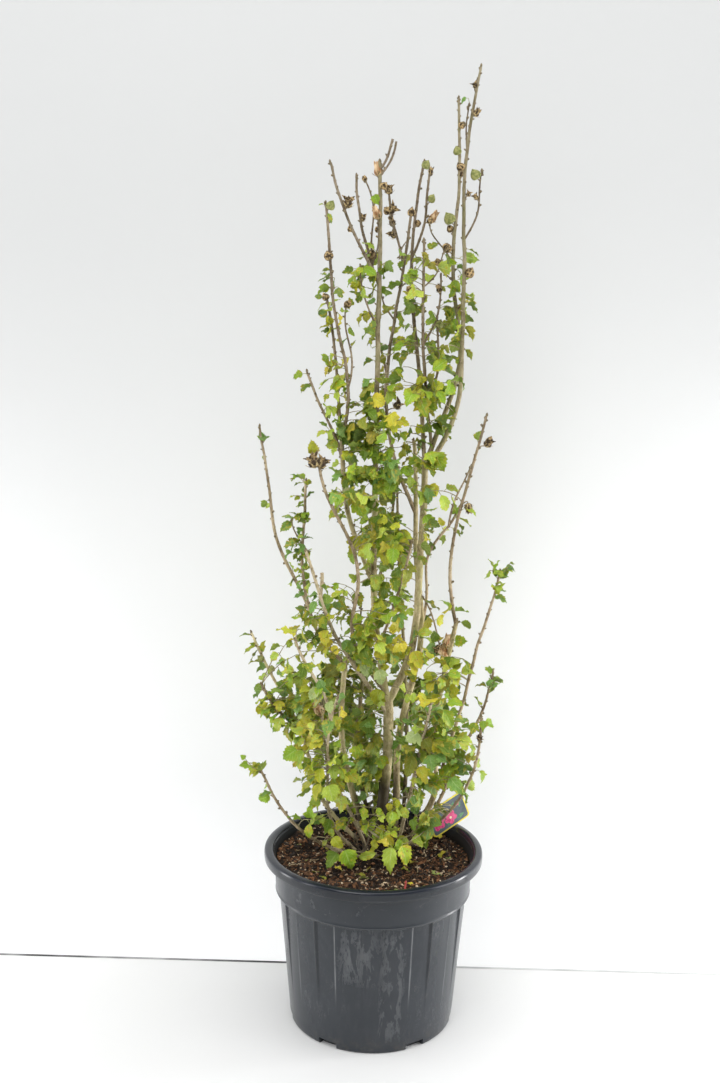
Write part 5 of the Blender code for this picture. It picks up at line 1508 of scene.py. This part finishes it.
    # slight unevenness of the moulding
    a = np.radians(angles)
    grid = np.stack(np.broadcast_arrays(np.cos(a)[None], np.sin(a)[None], z * 5), -1)
    wave = value_noise(grid * 1.3 + 4, 77)
    r = r + np.where((part != 3) & (z > 0.02), 0.0006 * wave, 0)
    x, y = r * np.sin(a)[None], -r * np.cos(a)[None]
    verts = np.stack([x, y, z], -1).reshape(-1, 3)
    local = np.stack(np.broadcast_arrays(((angles + 180) % 360 - 180)[None] / 180, z, part), -1).reshape(-1, 3)
    i, j = np.meshgrid(np.arange(n - 1), np.arange(m), indexing="ij")
    k = (j + 1) % m
    quads = np.stack([i * m + j, (i + 1) * m + j, (i + 1) * m + k, i * m + k], -1).reshape(-1, 4)
    heap = Heap()
    centre = len(verts)
    verts = np.concatenate([verts, [[0, 0, 0.0012]]])
    local = np.concatenate([local, [[0, 0, 3]]])
    j = np.arange(m)
    tris = np.stack([(n - 1) * m + j, np.full(m, centre), (n - 1) * m + (j + 1) % m], -1)
    heap.add(verts, quads, tris, local)

    node = Nodes("pot_plastic", 0.28, 0.5)
    angle, level, kind = node.local
    fine = node.noise(900.0, 2.0, 0.5)
    cloud = node.noise(9.0, 4.0, 0.6)
    base = node.mix(node.between(cloud, 0.35, 0.68), (0.019, 0.0235, 0.030), (0.029, 0.0335, 0.0405))
    # dried water: long runs down the body, blurred blotches on the collar
    runs = node.noise(3.2, 5.0, 0.62, node.vector(node.math("MULTIPLY", angle, 11.0), node.math("MULTIPLY", level, 5.5), 0.7), 0.6)
    runs_fine = node.noise(9.0, 4.0, 0.6, node.vector(node.math("MULTIPLY", angle, 16.0), node.math("MULTIPLY", level, 9.0), 3.1), 0.3)
    mask = node.math("MULTIPLY", node.between(runs, 0.53, 0.60), node.between(runs_fine, 0.36, 0.52))

    def window(value, low, high, soft):
        return node.math("MULTIPLY", node.between(value, low - soft, low + soft), node.between(value, high + soft, high - soft))

    left_patch = node.math("MULTIPLY", window(angle, -0.105, 0.005, 0.03), window(level, 0.150, 0.250, 0.02))
    right_patch = node.math("MULTIPLY", window(angle, 0.030, 0.105, 0.016), window(level, 0.030, 0.248, 0.02))
    field = node.math("MAXIMUM", node.math("MULTIPLY", left_patch, 1.0), right_patch)
    field = node.math("MAXIMUM", field, 0.07)
    streak = node.math("MULTIPLY", mask, field)
    edge = node.math("MULTIPLY", window(runs, 0.515, 0.545, 0.008), node.math("MULTIPLY", field, 0.8))
    body = node.between(level, COLLAR_FOOT - 0.001, COLLAR_FOOT - 0.008)
    streak = node.math("MULTIPLY", node.math("MAXIMUM", streak, edge), body)
    collar = node.math("MULTIPLY", node.between(node.noise(26.0, 5.0, 0.65, None, 0.5), 0.56, 0.64), window(level, 0.285, 0.322, 0.008))
    collar = node.math("MULTIPLY", collar, node.between(angle, -0.02, -0.16, 0.15, 1.0))
    marks = node.math("MAXIMUM", streak, node.math("MULTIPLY", collar, 0.8))
    speck = node.math("MULTIPLY", node.between(node.cells(150.0), 0.085, 0.05), node.between(node.noise(14.0, 3.0, 0.6), 0.50, 0.62))
    marks = node.math("MAXIMUM", marks, node.math("MULTIPLY", speck, 0.7))
    tint = node.mix(node.math("MULTIPLY", marks, 0.62), base, (0.135, 0.142, 0.148))
    scuff = node.noise(210.0, 3.0, 0.6, node.scaled(node.place, (0.12, 1.0, 1.0)))
    tint = node.mix(node.math("MULTIPLY", node.between(scuff, 0.66, 0.74), node.between(level, 0.325, 0.345, 0.15, 0.55)), tint, (0.12, 0.125, 0.13))
    dirt = node.math("MULTIPLY", node.between(level, 0.045, 0.0), node.between(node.noise(40.0, 4.0, 0.65), 0.45, 0.7))
    tint = node.mix(node.math("MULTIPLY", dirt, 0.35), tint, (0.10, 0.085, 0.065))
    # painted highlights along the groove edges that face outwards, and painted shade along the ones that face the front
    turn = node.math("ABSOLUTE", node.math("MULTIPLY", angle, 180.0))
    place = node.math("SUBTRACT", node.math("MODULO", node.math("ADD", turn, FLUTE_PITCH / 2), FLUTE_PITCH), FLUTE_PITCH / 2)
    fading = node.math("MULTIPLY", window(level, 0.085, 0.2592, 0.0010), node.between(level, 0.085, 0.16))
    pale = window(place, -FLUTE_HALF - 0.55, -FLUTE_HALF + 0.35, 0.30)
    pale = node.math("MULTIPLY", node.math("MULTIPLY", pale, fading), node.between(node.noise(16.0, 3.0, 0.6), 0.30, 0.62, 0.35, 1.0))
    tint = node.mix(node.math("MULTIPLY", pale, node.between(turn, 16.0, 34.0, 0.30, 0.85)), tint, (0.270, 0.275, 0.280))
    shade = node.math("MULTIPLY", node.math("MULTIPLY", window(place, FLUTE_HALF - 0.6, FLUTE_HALF + 1.6, 0.6), fading), node.between(turn, 10.0, 30.0, 0.35, 1.0))
    tint = node.mix(node.math("MULTIPLY", shade, 0.50), tint, (0.008, 0.010, 0.013))
    # a painted highlight along the collar's lower edge
    collar_edge_highlight = window(level, COLLAR_FOOT + 0.0002, COLLAR_FOOT + 0.0026, 0.0006)
    tint = node.mix(node.math("MULTIPLY", collar_edge_highlight, 0.22), tint, (0.170, 0.175, 0.180))
    # a painted shadow under the lip
    shadow_under_lip = window(level, LIP_BASE - 0.0030, LIP_BASE + 0.0012, 0.0008)
    tint = node.mix(node.math("MULTIPLY", shadow_under_lip, 0.6), tint, (0.006, 0.007, 0.009))
    # painted shade over dirt on the inside wall
    inside = node.math("MULTIPLY", node.between(kind, 3.5, 3.9), node.between(level, 0.3405, 0.3380))
    tint = node.mix(inside, tint, (0.0070, 0.0062, 0.0055))
    lip = node.between(level, 0.326, 0.334)
    tint = node.mix(node.math("MULTIPLY", lip, 0.62), tint, (0.008, 0.010, 0.014))
    crest = node.between(level, 0.3395, 0.3425)
    tint = node.mix(node.math("MULTIPLY", crest, 0.80), tint, (0.006, 0.009, 0.018))
    wet = node.math("MULTIPLY", window(angle, -0.138, -0.040, 0.016), window(level, 0.3285, 0.3455, 0.0012))
    wet = node.math("MULTIPLY", wet, node.between(node.noise(24.0, 3.0, 0.6), 0.34, 0.46))
    tint = node.mix(node.math("MULTIPLY", wet, 0.85), tint, (0.006, 0.008, 0.013))
    node.colour(tint)
    rough = node.math("ADD", node.math("MULTIPLY", marks, 0.22), node.math("MULTIPLY", fine, 0.06))
    rough = node.math("ADD", rough, node.math("MULTIPLY", cloud, 0.10))
    rough = node.math("SUBTRACT", node.math("ADD", rough, 0.17), node.math("MULTIPLY", lip, 0.06))
    rough = node.math("SUBTRACT", rough, node.math("MULTIPLY", wet, 0.08))
    rough = node.math("MAXIMUM", rough, node.math("MULTIPLY", inside, 0.8))
    node.rough(rough)
    node.bump(node.math("ADD", fine, node.math("MULTIPLY", marks, 0.5)), 0.12, 0.0004)
    piece("pot_shell", heap, [node.material], ["pot"], sharp=38)


# ---------------------------------------------------------------- compost


def soil_height(x, y):
    r = np.hypot(x, y)
    edge = smooth(r, 0.120, 0.186)
    low = 0.3195 + edge * (0.0040 - 0.0045 * x / 0.186 + 0.0006 * y / 0.186)
    p = np.stack([x, y, np.zeros_like(x)], -1)
    lumps = 0.0042 * fractal(p * 30 + 5, 11, 3) + 0.0016 * fractal(p * 150, 12, 2)
    mound = 0.0045 * np.exp(-((np.hypot(x - 0.01, y - 0.06) / 0.10) ** 2))
    edge = -0.0012 * smooth(r, 0.182, 0.190)
    return low + lumps * (1 - 0.4 * smooth(r, 0.165, 0.186)) + mound + edge


def chip_template(source, flat=0.5):
    """An irregular flake with eight corners."""
    corners = np.array([(x, y, z) for z in (-1, 1) for y in (-1, 1) for x in (-1, 1)], float) * np.array([0.5, 0.5, 0.5 * flat])
    corners += source.normal(size=corners.shape) * np.array([0.12, 0.12, 0.07])
    quads = [(0, 2, 3, 1), (4, 5, 7, 6), (0, 1, 5, 4), (2, 6, 7, 3), (0, 4, 6, 2), (1, 3, 7, 5)]
    return corners, np.array(quads), np.zeros((0, 3), np.int64)


def build_soil(foliage):
    source = dice("soil")
    rings, sides = 58, 150
    r = np.linspace(0, 1, rings + 1)[1:] ** 0.8 * 0.1905
    a = np.arange(sides) / sides * TAU
    x = r[:, None] * np.cos(a) + source.normal(size=(rings, sides)) * 0.0004
    y = r[:, None] * np.sin(a) + source.normal(size=(rings, sides)) * 0.0004
    x[-1], y[-1] = r[-1] * np.cos(a), r[-1] * np.sin(a)
    z = soil_height(x, y) + source.normal(size=x.shape) * 0.0006
    top = np.stack([x, y, z], -1).reshape(-1, 3)
    skirt = np.stack([r[-1] * np.cos(a) * 0.978, r[-1] * np.sin(a) * 0.978, np.full(sides, 0.292)], -1)
    verts = np.concatenate([top, skirt, [[0, 0, float(soil_height(np.zeros(1), np.zeros(1))[0])], [0, 0, 0.292]]])
    i, j = np.meshgrid(np.arange(rings), np.arange(sides), indexing="ij")
    k = (j + 1) % sides
    quads = np.stack([i * sides + j, (i + 1) * sides + j, (i + 1) * sides + k, i * sides + k], -1).reshape(-1, 4)
    j = np.arange(sides)
    k = (j + 1) % sides
    tris = np.concatenate([np.stack([j, k, np.full(sides, (rings + 1) * sides)], -1), np.stack([rings * sides + k, rings * sides + j, np.full(sides, (rings + 1) * sides + 1)], -1)])
    heap = Heap()
    heap.add(verts, quads, tris)
    n = Nodes("compost_fines", 0.9, 0.25)
    grain = n.noise(420.0, 5.0, 0.7)
    clod = n.noise(70.0, 4.0, 0.6)
    tint = n.ramp(n.math("ADD", n.math("MULTIPLY", grain, 0.65), n.math("MULTIPLY", clod, 0.35)), [(0.40, (0.005, 0.003, 0.0018)), (0.52, (0.017, 0.009, 0.005)), (0.62, (0.065, 0.034, 0.017)), (0.74, (0.210, 0.130, 0.070))])
    # painted shade on the compost round the feet of the stems
    split = n.new("ShaderNodeSeparateXYZ")
    n.join(n.place, split.inputs[0])
    aside, away = n.math("SUBTRACT", split.outputs["X"], 0.016), n.math("SUBTRACT", split.outputs["Y"], 0.030)
    reach = n.math("SQRT", n.math("ADD", n.math("MULTIPLY", aside, aside), n.math("MULTIPLY", away, away)))
    tint = n.mix(n.math("MULTIPLY", n.between(reach, 0.105, 0.055), 0.65), tint, (0.005, 0.0035, 0.0025))
    n.colour(tint)
    n.bump(grain, 1.0, 0.0022)
    piece("compost_bed", heap, [n.material], ["compost"])

    mats = {
        "chips_dark": plain_material("chip_dark", (0.006, 0.004, 0.0025), (0.034, 0.019, 0.011), 0.70, 600.0, 0.8, 0.0010, specular=0.35),
        "chips_brown": plain_material("chip_brown", (0.045, 0.022, 0.011), (0.150, 0.076, 0.038), 0.78, 500.0, 0.8, 0.0010, specular=0.2),
        "chips_red": plain_material("chip_red", (0.130, 0.052, 0.022), (0.340, 0.170, 0.085), 0.78, 500.0, 0.8, 0.0010, specular=0.2),
        "chips_pale": plain_material("chip_pale", (0.360, 0.245, 0.145), (0.830, 0.680, 0.480), 0.8, 420.0, 0.7, 0.0010, specular=0.2),
    }
    counts = {"chips_dark": (2900, (1.4, 5.2)), "chips_brown": (2500, (1.3, 5.2)), "chips_red": (1200, (1.3, 4.8)), "chips_pale": (800, (1.1, 4.4))}
    for name, (count, sizes) in counts.items():
        heap = Heap()
        for index in range(6):
            part = count // 6
            template = chip_template(source, source.uniform(0.35, 0.7))
            r = 0.1885 * np.sqrt(source.random(part))
            a = source.uniform(0, TAU, part)
            x, y = r * np.cos(a), r * np.sin(a)
            size = sizes[0] + (sizes[1] - sizes[0]) * source.random(part) ** 2.6
            long = size * source.uniform(1.0, 2.6, part)
            limit = np.maximum(0.0, 0.1898 - r) / MM
            long = np.minimum(long, 2.0 * limit + 2.0)
            size = np.minimum(size, long)
            up = unit(np.array([0, 0, 1.0]) + source.normal(size=(part, 3)) * 0.42)
            sx, sy = upright(up, source)
            at = np.stack([x, y, soil_height(x, y) + size * MM * source.uniform(-0.10, 0.42, part)], 1)
            tag = source.random(part)
            # fewer brown, red and pale chips round the feet of the stems, so the painted shade there stays dark
            shown = (np.hypot(x - 0.016, y - 0.030) > 0.060 + 0.035 * tag) | (np.arange(part) % (5 if name == "chips_pale" else 3) == 0) | (name == "chips_dark")
            stamp(heap, template, at[shown], sx[shown], sy[shown], up[shown], np.stack([long, size, size], 1)[shown] * MM, tag[shown])
        piece(name, heap, [mats[name]], smooth_faces=False)

    # a few twiglets, straws and a short red stub on the compost
    paths, radii = [], []
    for index in range(34):
        a, r = source.uniform(0, TAU), 0.165 * math.sqrt(source.random())
        x, y = r * math.cos(a), r * math.sin(a)
        way = source.uniform(0, TAU)
        size = source.uniform(0.010, 0.034)
        t = np.linspace(-0.5, 0.5, 7)
        px, py = x + t * size * math.cos(way), y + t * size * math.sin(way)
        inside = np.hypot(px, py).max() < 0.182
        if inside:
            paths.append(np.stack([px, py, soil_height(px, py) + 0.0016 + 0.002 * source.random()], 1))
            radii.append(np.full(7, source.uniform(0.0005, 0.0011)))
    heap = Heap()
    tubes(heap, np.array(paths), np.array(radii), 6)
    piece("compost_straws", heap, [plain_material("straw", (0.20, 0.14, 0.08), (0.46, 0.36, 0.22), 0.75, 300.0, 0.4)])
    heap = Heap()
    x, y = 0.0565, -0.1475
    foot = float(soil_height(np.array([x]), np.array([y]))[0])
    t = np.linspace(0, 1, 9)[:, None]
    line = np.array([x, y, foot - 0.004]) + t * np.array([0.0030, 0.006, 0.0225])
    relief = 0.10 * value_noise(np.stack(np.broadcast_arrays(np.linspace(0, 9, 9)[:, None], np.arange(9)[None] * 0.9, 0.5), -1), 5)
    tubes(heap, line, np.linspace(0.0021, 0.0017, 9), 9, relief=relief)
    piece("red_stub", heap, [plain_material("red_stem", (0.30, 0.035, 0.035), (0.55, 0.11, 0.09), 0.5, 260.0, 0.4)])


def build_weeds():
    """Little seedlings on the compost."""
    source = dice("weeds")
    heap = Heap()
    blade = strip_template(0.34, 1.0, 0.5, 0.8, cup=0.2, rows=7, columns=3, thick=0.03, tip=0.85)
    spots = [(0.075, -0.152, 9), (0.118, -0.140, 8), (0.128, -0.136, 7), (0.122, -0.070, 8), (0.115, -0.062, 6), (-0.098, -0.098, 6), (0.150, 0.010, 7), (-0.130, -0.020, 6), (-0.06, 0.155, 8), (0.06, 0.165, 7), (-0.150, 0.05, 6), (0.040, -0.155, 5), (0.095, -0.128, 6)]
    for x, y, size in spots:
        z = float(soil_height(np.array([x]), np.array([y]))[0])
        count = source.integers(4, 8)
        a = np.arange(count) / count * TAU + source.uniform(0, TAU) + source.normal(size=count) * 0.2
        lean = unit(np.stack([np.cos(a) * 0.8, np.sin(a) * 0.8, np.full(count, 0.8)], 1) + source.normal(size=(count, 3)) * 0.15)
        out = unit(np.stack([np.cos(a), np.sin(a), np.full(count, -0.2)], 1))
        sx = across(out, lean)
        at = np.stack([np.full(count, x), np.full(count, y), np.full(count, z + 0.001)], 1) + source.normal(size=(count, 3)) * 0.0006
        stamp(heap, blade, at, sx, np.cross(lean, sx), lean, source.uniform(0.7, 1.2, count) * size * MM, source.random(count))
    piece("seedlings", heap, [plain_material("seedling", (0.19, 0.27, 0.06), (0.42, 0.46, 0.13), 0.5, 160.0, 0.3)])


def build_litter(foliage):
    source = dice("litter")
    for index in range(26):
        a, r = source.uniform(0, TAU), 0.165 * math.sqrt(source.random())
        x, y = r * math.cos(a), r * math.sin(a)
        z = float(soil_height(np.array([x]), np.array([y]))[0]) + 0.004
        way = source.uniform(0, TAU)
        ahead = np.array([math.cos(way), math.sin(way), 0.12])
        base = np.array([x, y, z])
        size = source.uniform(12, 26) * MM
        if math.hypot(*(base + ahead * size)[:2]) > 0.178:
            continue
        foliage.leaf(base - unit(ahead) * 0.006, base, ahead, unit(UP + source.normal(size=3) * 0.25), size, source.uniform(0.75, 1.0), source.choice(["leaves_olive", "leaves_yellow", "leaves_olive"]), "narrow", source, chosen=True)


def build_dead_wood(limbs):
    """Dark dead twigs and old cut ends that tangle round the foot of the stems."""
    source = dice("dead wood")
    heap = Heap()
    feet = np.array([limb["foot"] for limb in limbs.values() if not limb["parent"]])
    for index in range(30):
        foot = feet[source.integers(len(feet))] + np.array([source.normal() * 0.008, source.normal() * 0.008, -0.006])
        lean = unit(np.array([source.normal() * 0.55, source.normal() * 0.55, 0.8]))
        size = source.uniform(0.03, 0.115)
        t = np.linspace(0, 1, 12)[:, None]
        bend = across(source.normal(size=3), lean) * size * 0.22
        line = foot + lean * size * t + bend * np.sin(np.pi * t * 0.8) + source.normal(size=(12, 3)) * 0.0010 * t
        thick = source.uniform(0.0009, 0.0024)
        relief = 0.12 * value_noise(np.stack(np.broadcast_arrays(np.linspace(0, 11, 12)[:, None] * 0.9 + index, np.arange(7)[None] * 1.1, 0.5), -1), 8)
        tubes(heap, line, np.linspace(thick, thick * 0.6, 12), 7, relief=relief)
    piece("dead_twigs", heap, [bark_material("dead_bark", (0.028, 0.021, 0.014), (0.085, 0.065, 0.042), (0.190, 0.150, 0.100), scale=420.0)])


# ---------------------------------------------------------------- plant tag

TAG_WIDTH, TAG_TALL, TAG_THICK, STAKE_WIDTH, STAKE_LENGTH = 0.092, 0.062, 0.0012, 0.008, 0.006
TAG_PLACE, TAG_ALONG, TAG_UP = (0.153, 0.096, 0.3755), (0.81, 0.43, 0.40), (-0.20, -0.12, 0.97)


def rounded_box(width, tall, corner, sides=7):
    points = []
    for cx, cy, start in ((width / 2, tall / 2, 0), (-width / 2, tall / 2, 90), (-width / 2, -tall / 2, 180), (width / 2, -tall / 2, 270)):
        mx, my = cx - math.copysign(corner, cx), cy - math.copysign(corner, cy)
        for step in range(sides):
            a = math.radians(start + 90 * step / (sides - 1))
            points.append((mx + corner * math.cos(a), my + corner * math.sin(a)))
    return np.array(points)


def build_tag():
    along = np.array(Vector(TAG_ALONG).normalized())
    out = unit(np.cross(along, np.array(TAG_UP)))
    up = np.cross(out, along)
    centre = np.array(TAG_PLACE)

    def slab(heap, outline, low, high, mat=0):
        """A flat plate between two depths, with its outline as drawn (anticlockwise)."""
        outline = np.asarray(outline, float)
        m = len(outline)
        middle = outline.mean(0)
        layers = []
        for depth in (low, high):
            layers.append(centre + outline[:, :1] * along + outline[:, 1:] * up + depth * out)
        mids = [centre + middle[0] * along + middle[1] * up + depth * out for depth in (low, high)]
        verts = np.concatenate([*layers, mids])
        j = np.arange(m)
        k = (j + 1) % m
        quads = np.stack([j, k, m + k, m + j], -1)
        tris = np.concatenate([np.stack([k, j, np.full(m, 2 * m)], -1), np.stack([m + j, m + k, np.full(m, 2 * m + 1)], -1)])
        heap.add(verts, quads, tris, None, mat)

    t = TAG_THICK / 2
    face = Heap()
    slab(face, rounded_box(TAG_WIDTH, TAG_TALL, 0.008), -t, t)
    left = -TAG_WIDTH / 2 + 0.009
    slab(face, [(left, -TAG_TALL / 2 - STAKE_LENGTH), (left + STAKE_WIDTH, -TAG_TALL / 2 - STAKE_LENGTH), (left + STAKE_WIDTH, -TAG_TALL / 2 + 0.001), (left, -TAG_TALL / 2 + 0.001)], -t * 0.98, t * 0.98)
    yellow = plain_material("tag_yellow", (0.72, 0.60, 0.05), (0.80, 0.70, 0.10), 0.3, 60.0, 0.05)
    piece("tag_card", face, [yellow], ["plant_tag"], smooth_faces=False)

    # out points at the viewer's side or away from it; the picture side is the one towards -Y
    sign = -1.0 if out[1] > 0 else 1.0

    def layer(heap, outline, level, mat=0):
        low, high = t - 0.00005, t + 0.00012 * level
        if sign > 0:
            slab(heap, outline, low, high, mat)
        else:
            slab(heap, np.asarray(outline)[::-1] * 1.0, -low, -high, mat)

    def spot(x, y, size, lobes, depth, turn=0.0, count=40, stretch=1.0):
        a = np.arange(count) / count * TAU
        r = size * (1 - depth + depth * np.abs(np.cos(lobes * (a - turn) / 2)))
        px, py = r * np.cos(a), r * np.sin(a) * stretch
        return np.stack([x + px, y + py], 1)

    def leaf_shape(x, y, length, width, turn):
        s = np.linspace(0, 1, 12)
        h = width * np.sin(np.pi * s) * (1 - 0.35 * s)
        pts = np.concatenate([np.stack([s * length, h], 1), np.stack([s[::-1][1:-1] * length, -h[::-1][1:-1]], 1)])[::-1]
        c, d = math.cos(turn), math.sin(turn)
        return np.stack([x + c * pts[:, 0] - d * pts[:, 1], y + d * pts[:, 0] + c * pts[:, 1]], 1)

    inner = Heap()
    layer(inner, rounded_box(TAG_WIDTH - 0.0064, TAG_TALL - 0.0064, 0.0055), 1)
    piece("tag_panel", inner, [plain_material("tag_slate", (0.060, 0.080, 0.095), (0.150, 0.180, 0.200), 0.3, 45.0, 0.04, low=0.30, high=0.75)], smooth_faces=False)
    green = Heap()
    for x, y, length, width, turn in ((-0.030, -0.020, 0.020, 0.0045, 0.5), (-0.008, -0.024, 0.018, 0.0042, 1.2), (0.016, -0.020, 0.020, 0.0045, 0.2), (0.030, 0.000, 0.014, 0.0040, 1.4), (0.010, 0.006, 0.018, 0.0042, 0.9), (-0.036, 0.004, 0.015, 0.0040, 1.5), (0.022, 0.014, 0.013, 0.0034, 0.1)):
        layer(green, leaf_shape(x, y, length, width, turn), 2)
    piece("tag_leaves", green, [plain_material("tag_green", (0.05, 0.16, 0.08), (0.16, 0.34, 0.16), 0.3, 140.0, 0.04)], smooth_faces=False)
    pink = Heap()
    for x, y, size, turn in ((-0.026, -0.006, 0.0165, 0.3), (0.003, -0.009, 0.0155, 0.9), (0.026, 0.012, 0.0060, 1.6)):
        layer(pink, spot(x, y, size, 5, 0.34, turn), 3)
    piece("tag_blooms", pink, [plain_material("tag_pink", (0.50, 0.03, 0.13), (0.74, 0.13, 0.28), 0.3, 160.0, 0.04)], smooth_faces=False)
    pale = Heap()
    for x, y, size in ((-0.026, -0.006, 0.0030), (0.003, -0.009, 0.0028), (0.026, 0.012, 0.0014)):
        layer(pale, spot(x, y, size, 3, 0.1), 4, 0)
    piece("tag_hearts", pale, [plain_material("tag_cream", (0.75, 0.66, 0.40), (0.85, 0.80, 0.60), 0.3, 160.0, 0.04)], smooth_faces=False)


# ---------------------------------------------------------------- all of it

build_camera()
build_stage()
limbs = read_limbs()
nodes = {name: limb_nodes(limb) for name, limb in limbs.items()}
build_bark(limbs, nodes)
foliage = Foliage(limbs)
paths, radii = grow_crown(limbs, nodes, foliage)
build_litter(foliage)
foliage.draw()
build_petioles(foliage)
build_buds(limbs, nodes)
stalks, widths = build_heads(limbs)
build_sprigs(paths, radii, stalks, widths)
build_pot()
build_soil(foliage)
build_weeds()
build_dead_wood(limbs)
build_tag()

total = 0
for thing in bpy.data.objects:
    if thing.type == "MESH" and thing.name not in frame["nodes"]:
        size = sum(len(polygon.vertices) - 2 for polygon in thing.data.polygons)
        total += size
        if size > 150000:
            print("LARGE", thing.name, size)
print("leaves", len(foliage.rows), "triangles", total)
bpy.context.view_layer.update()
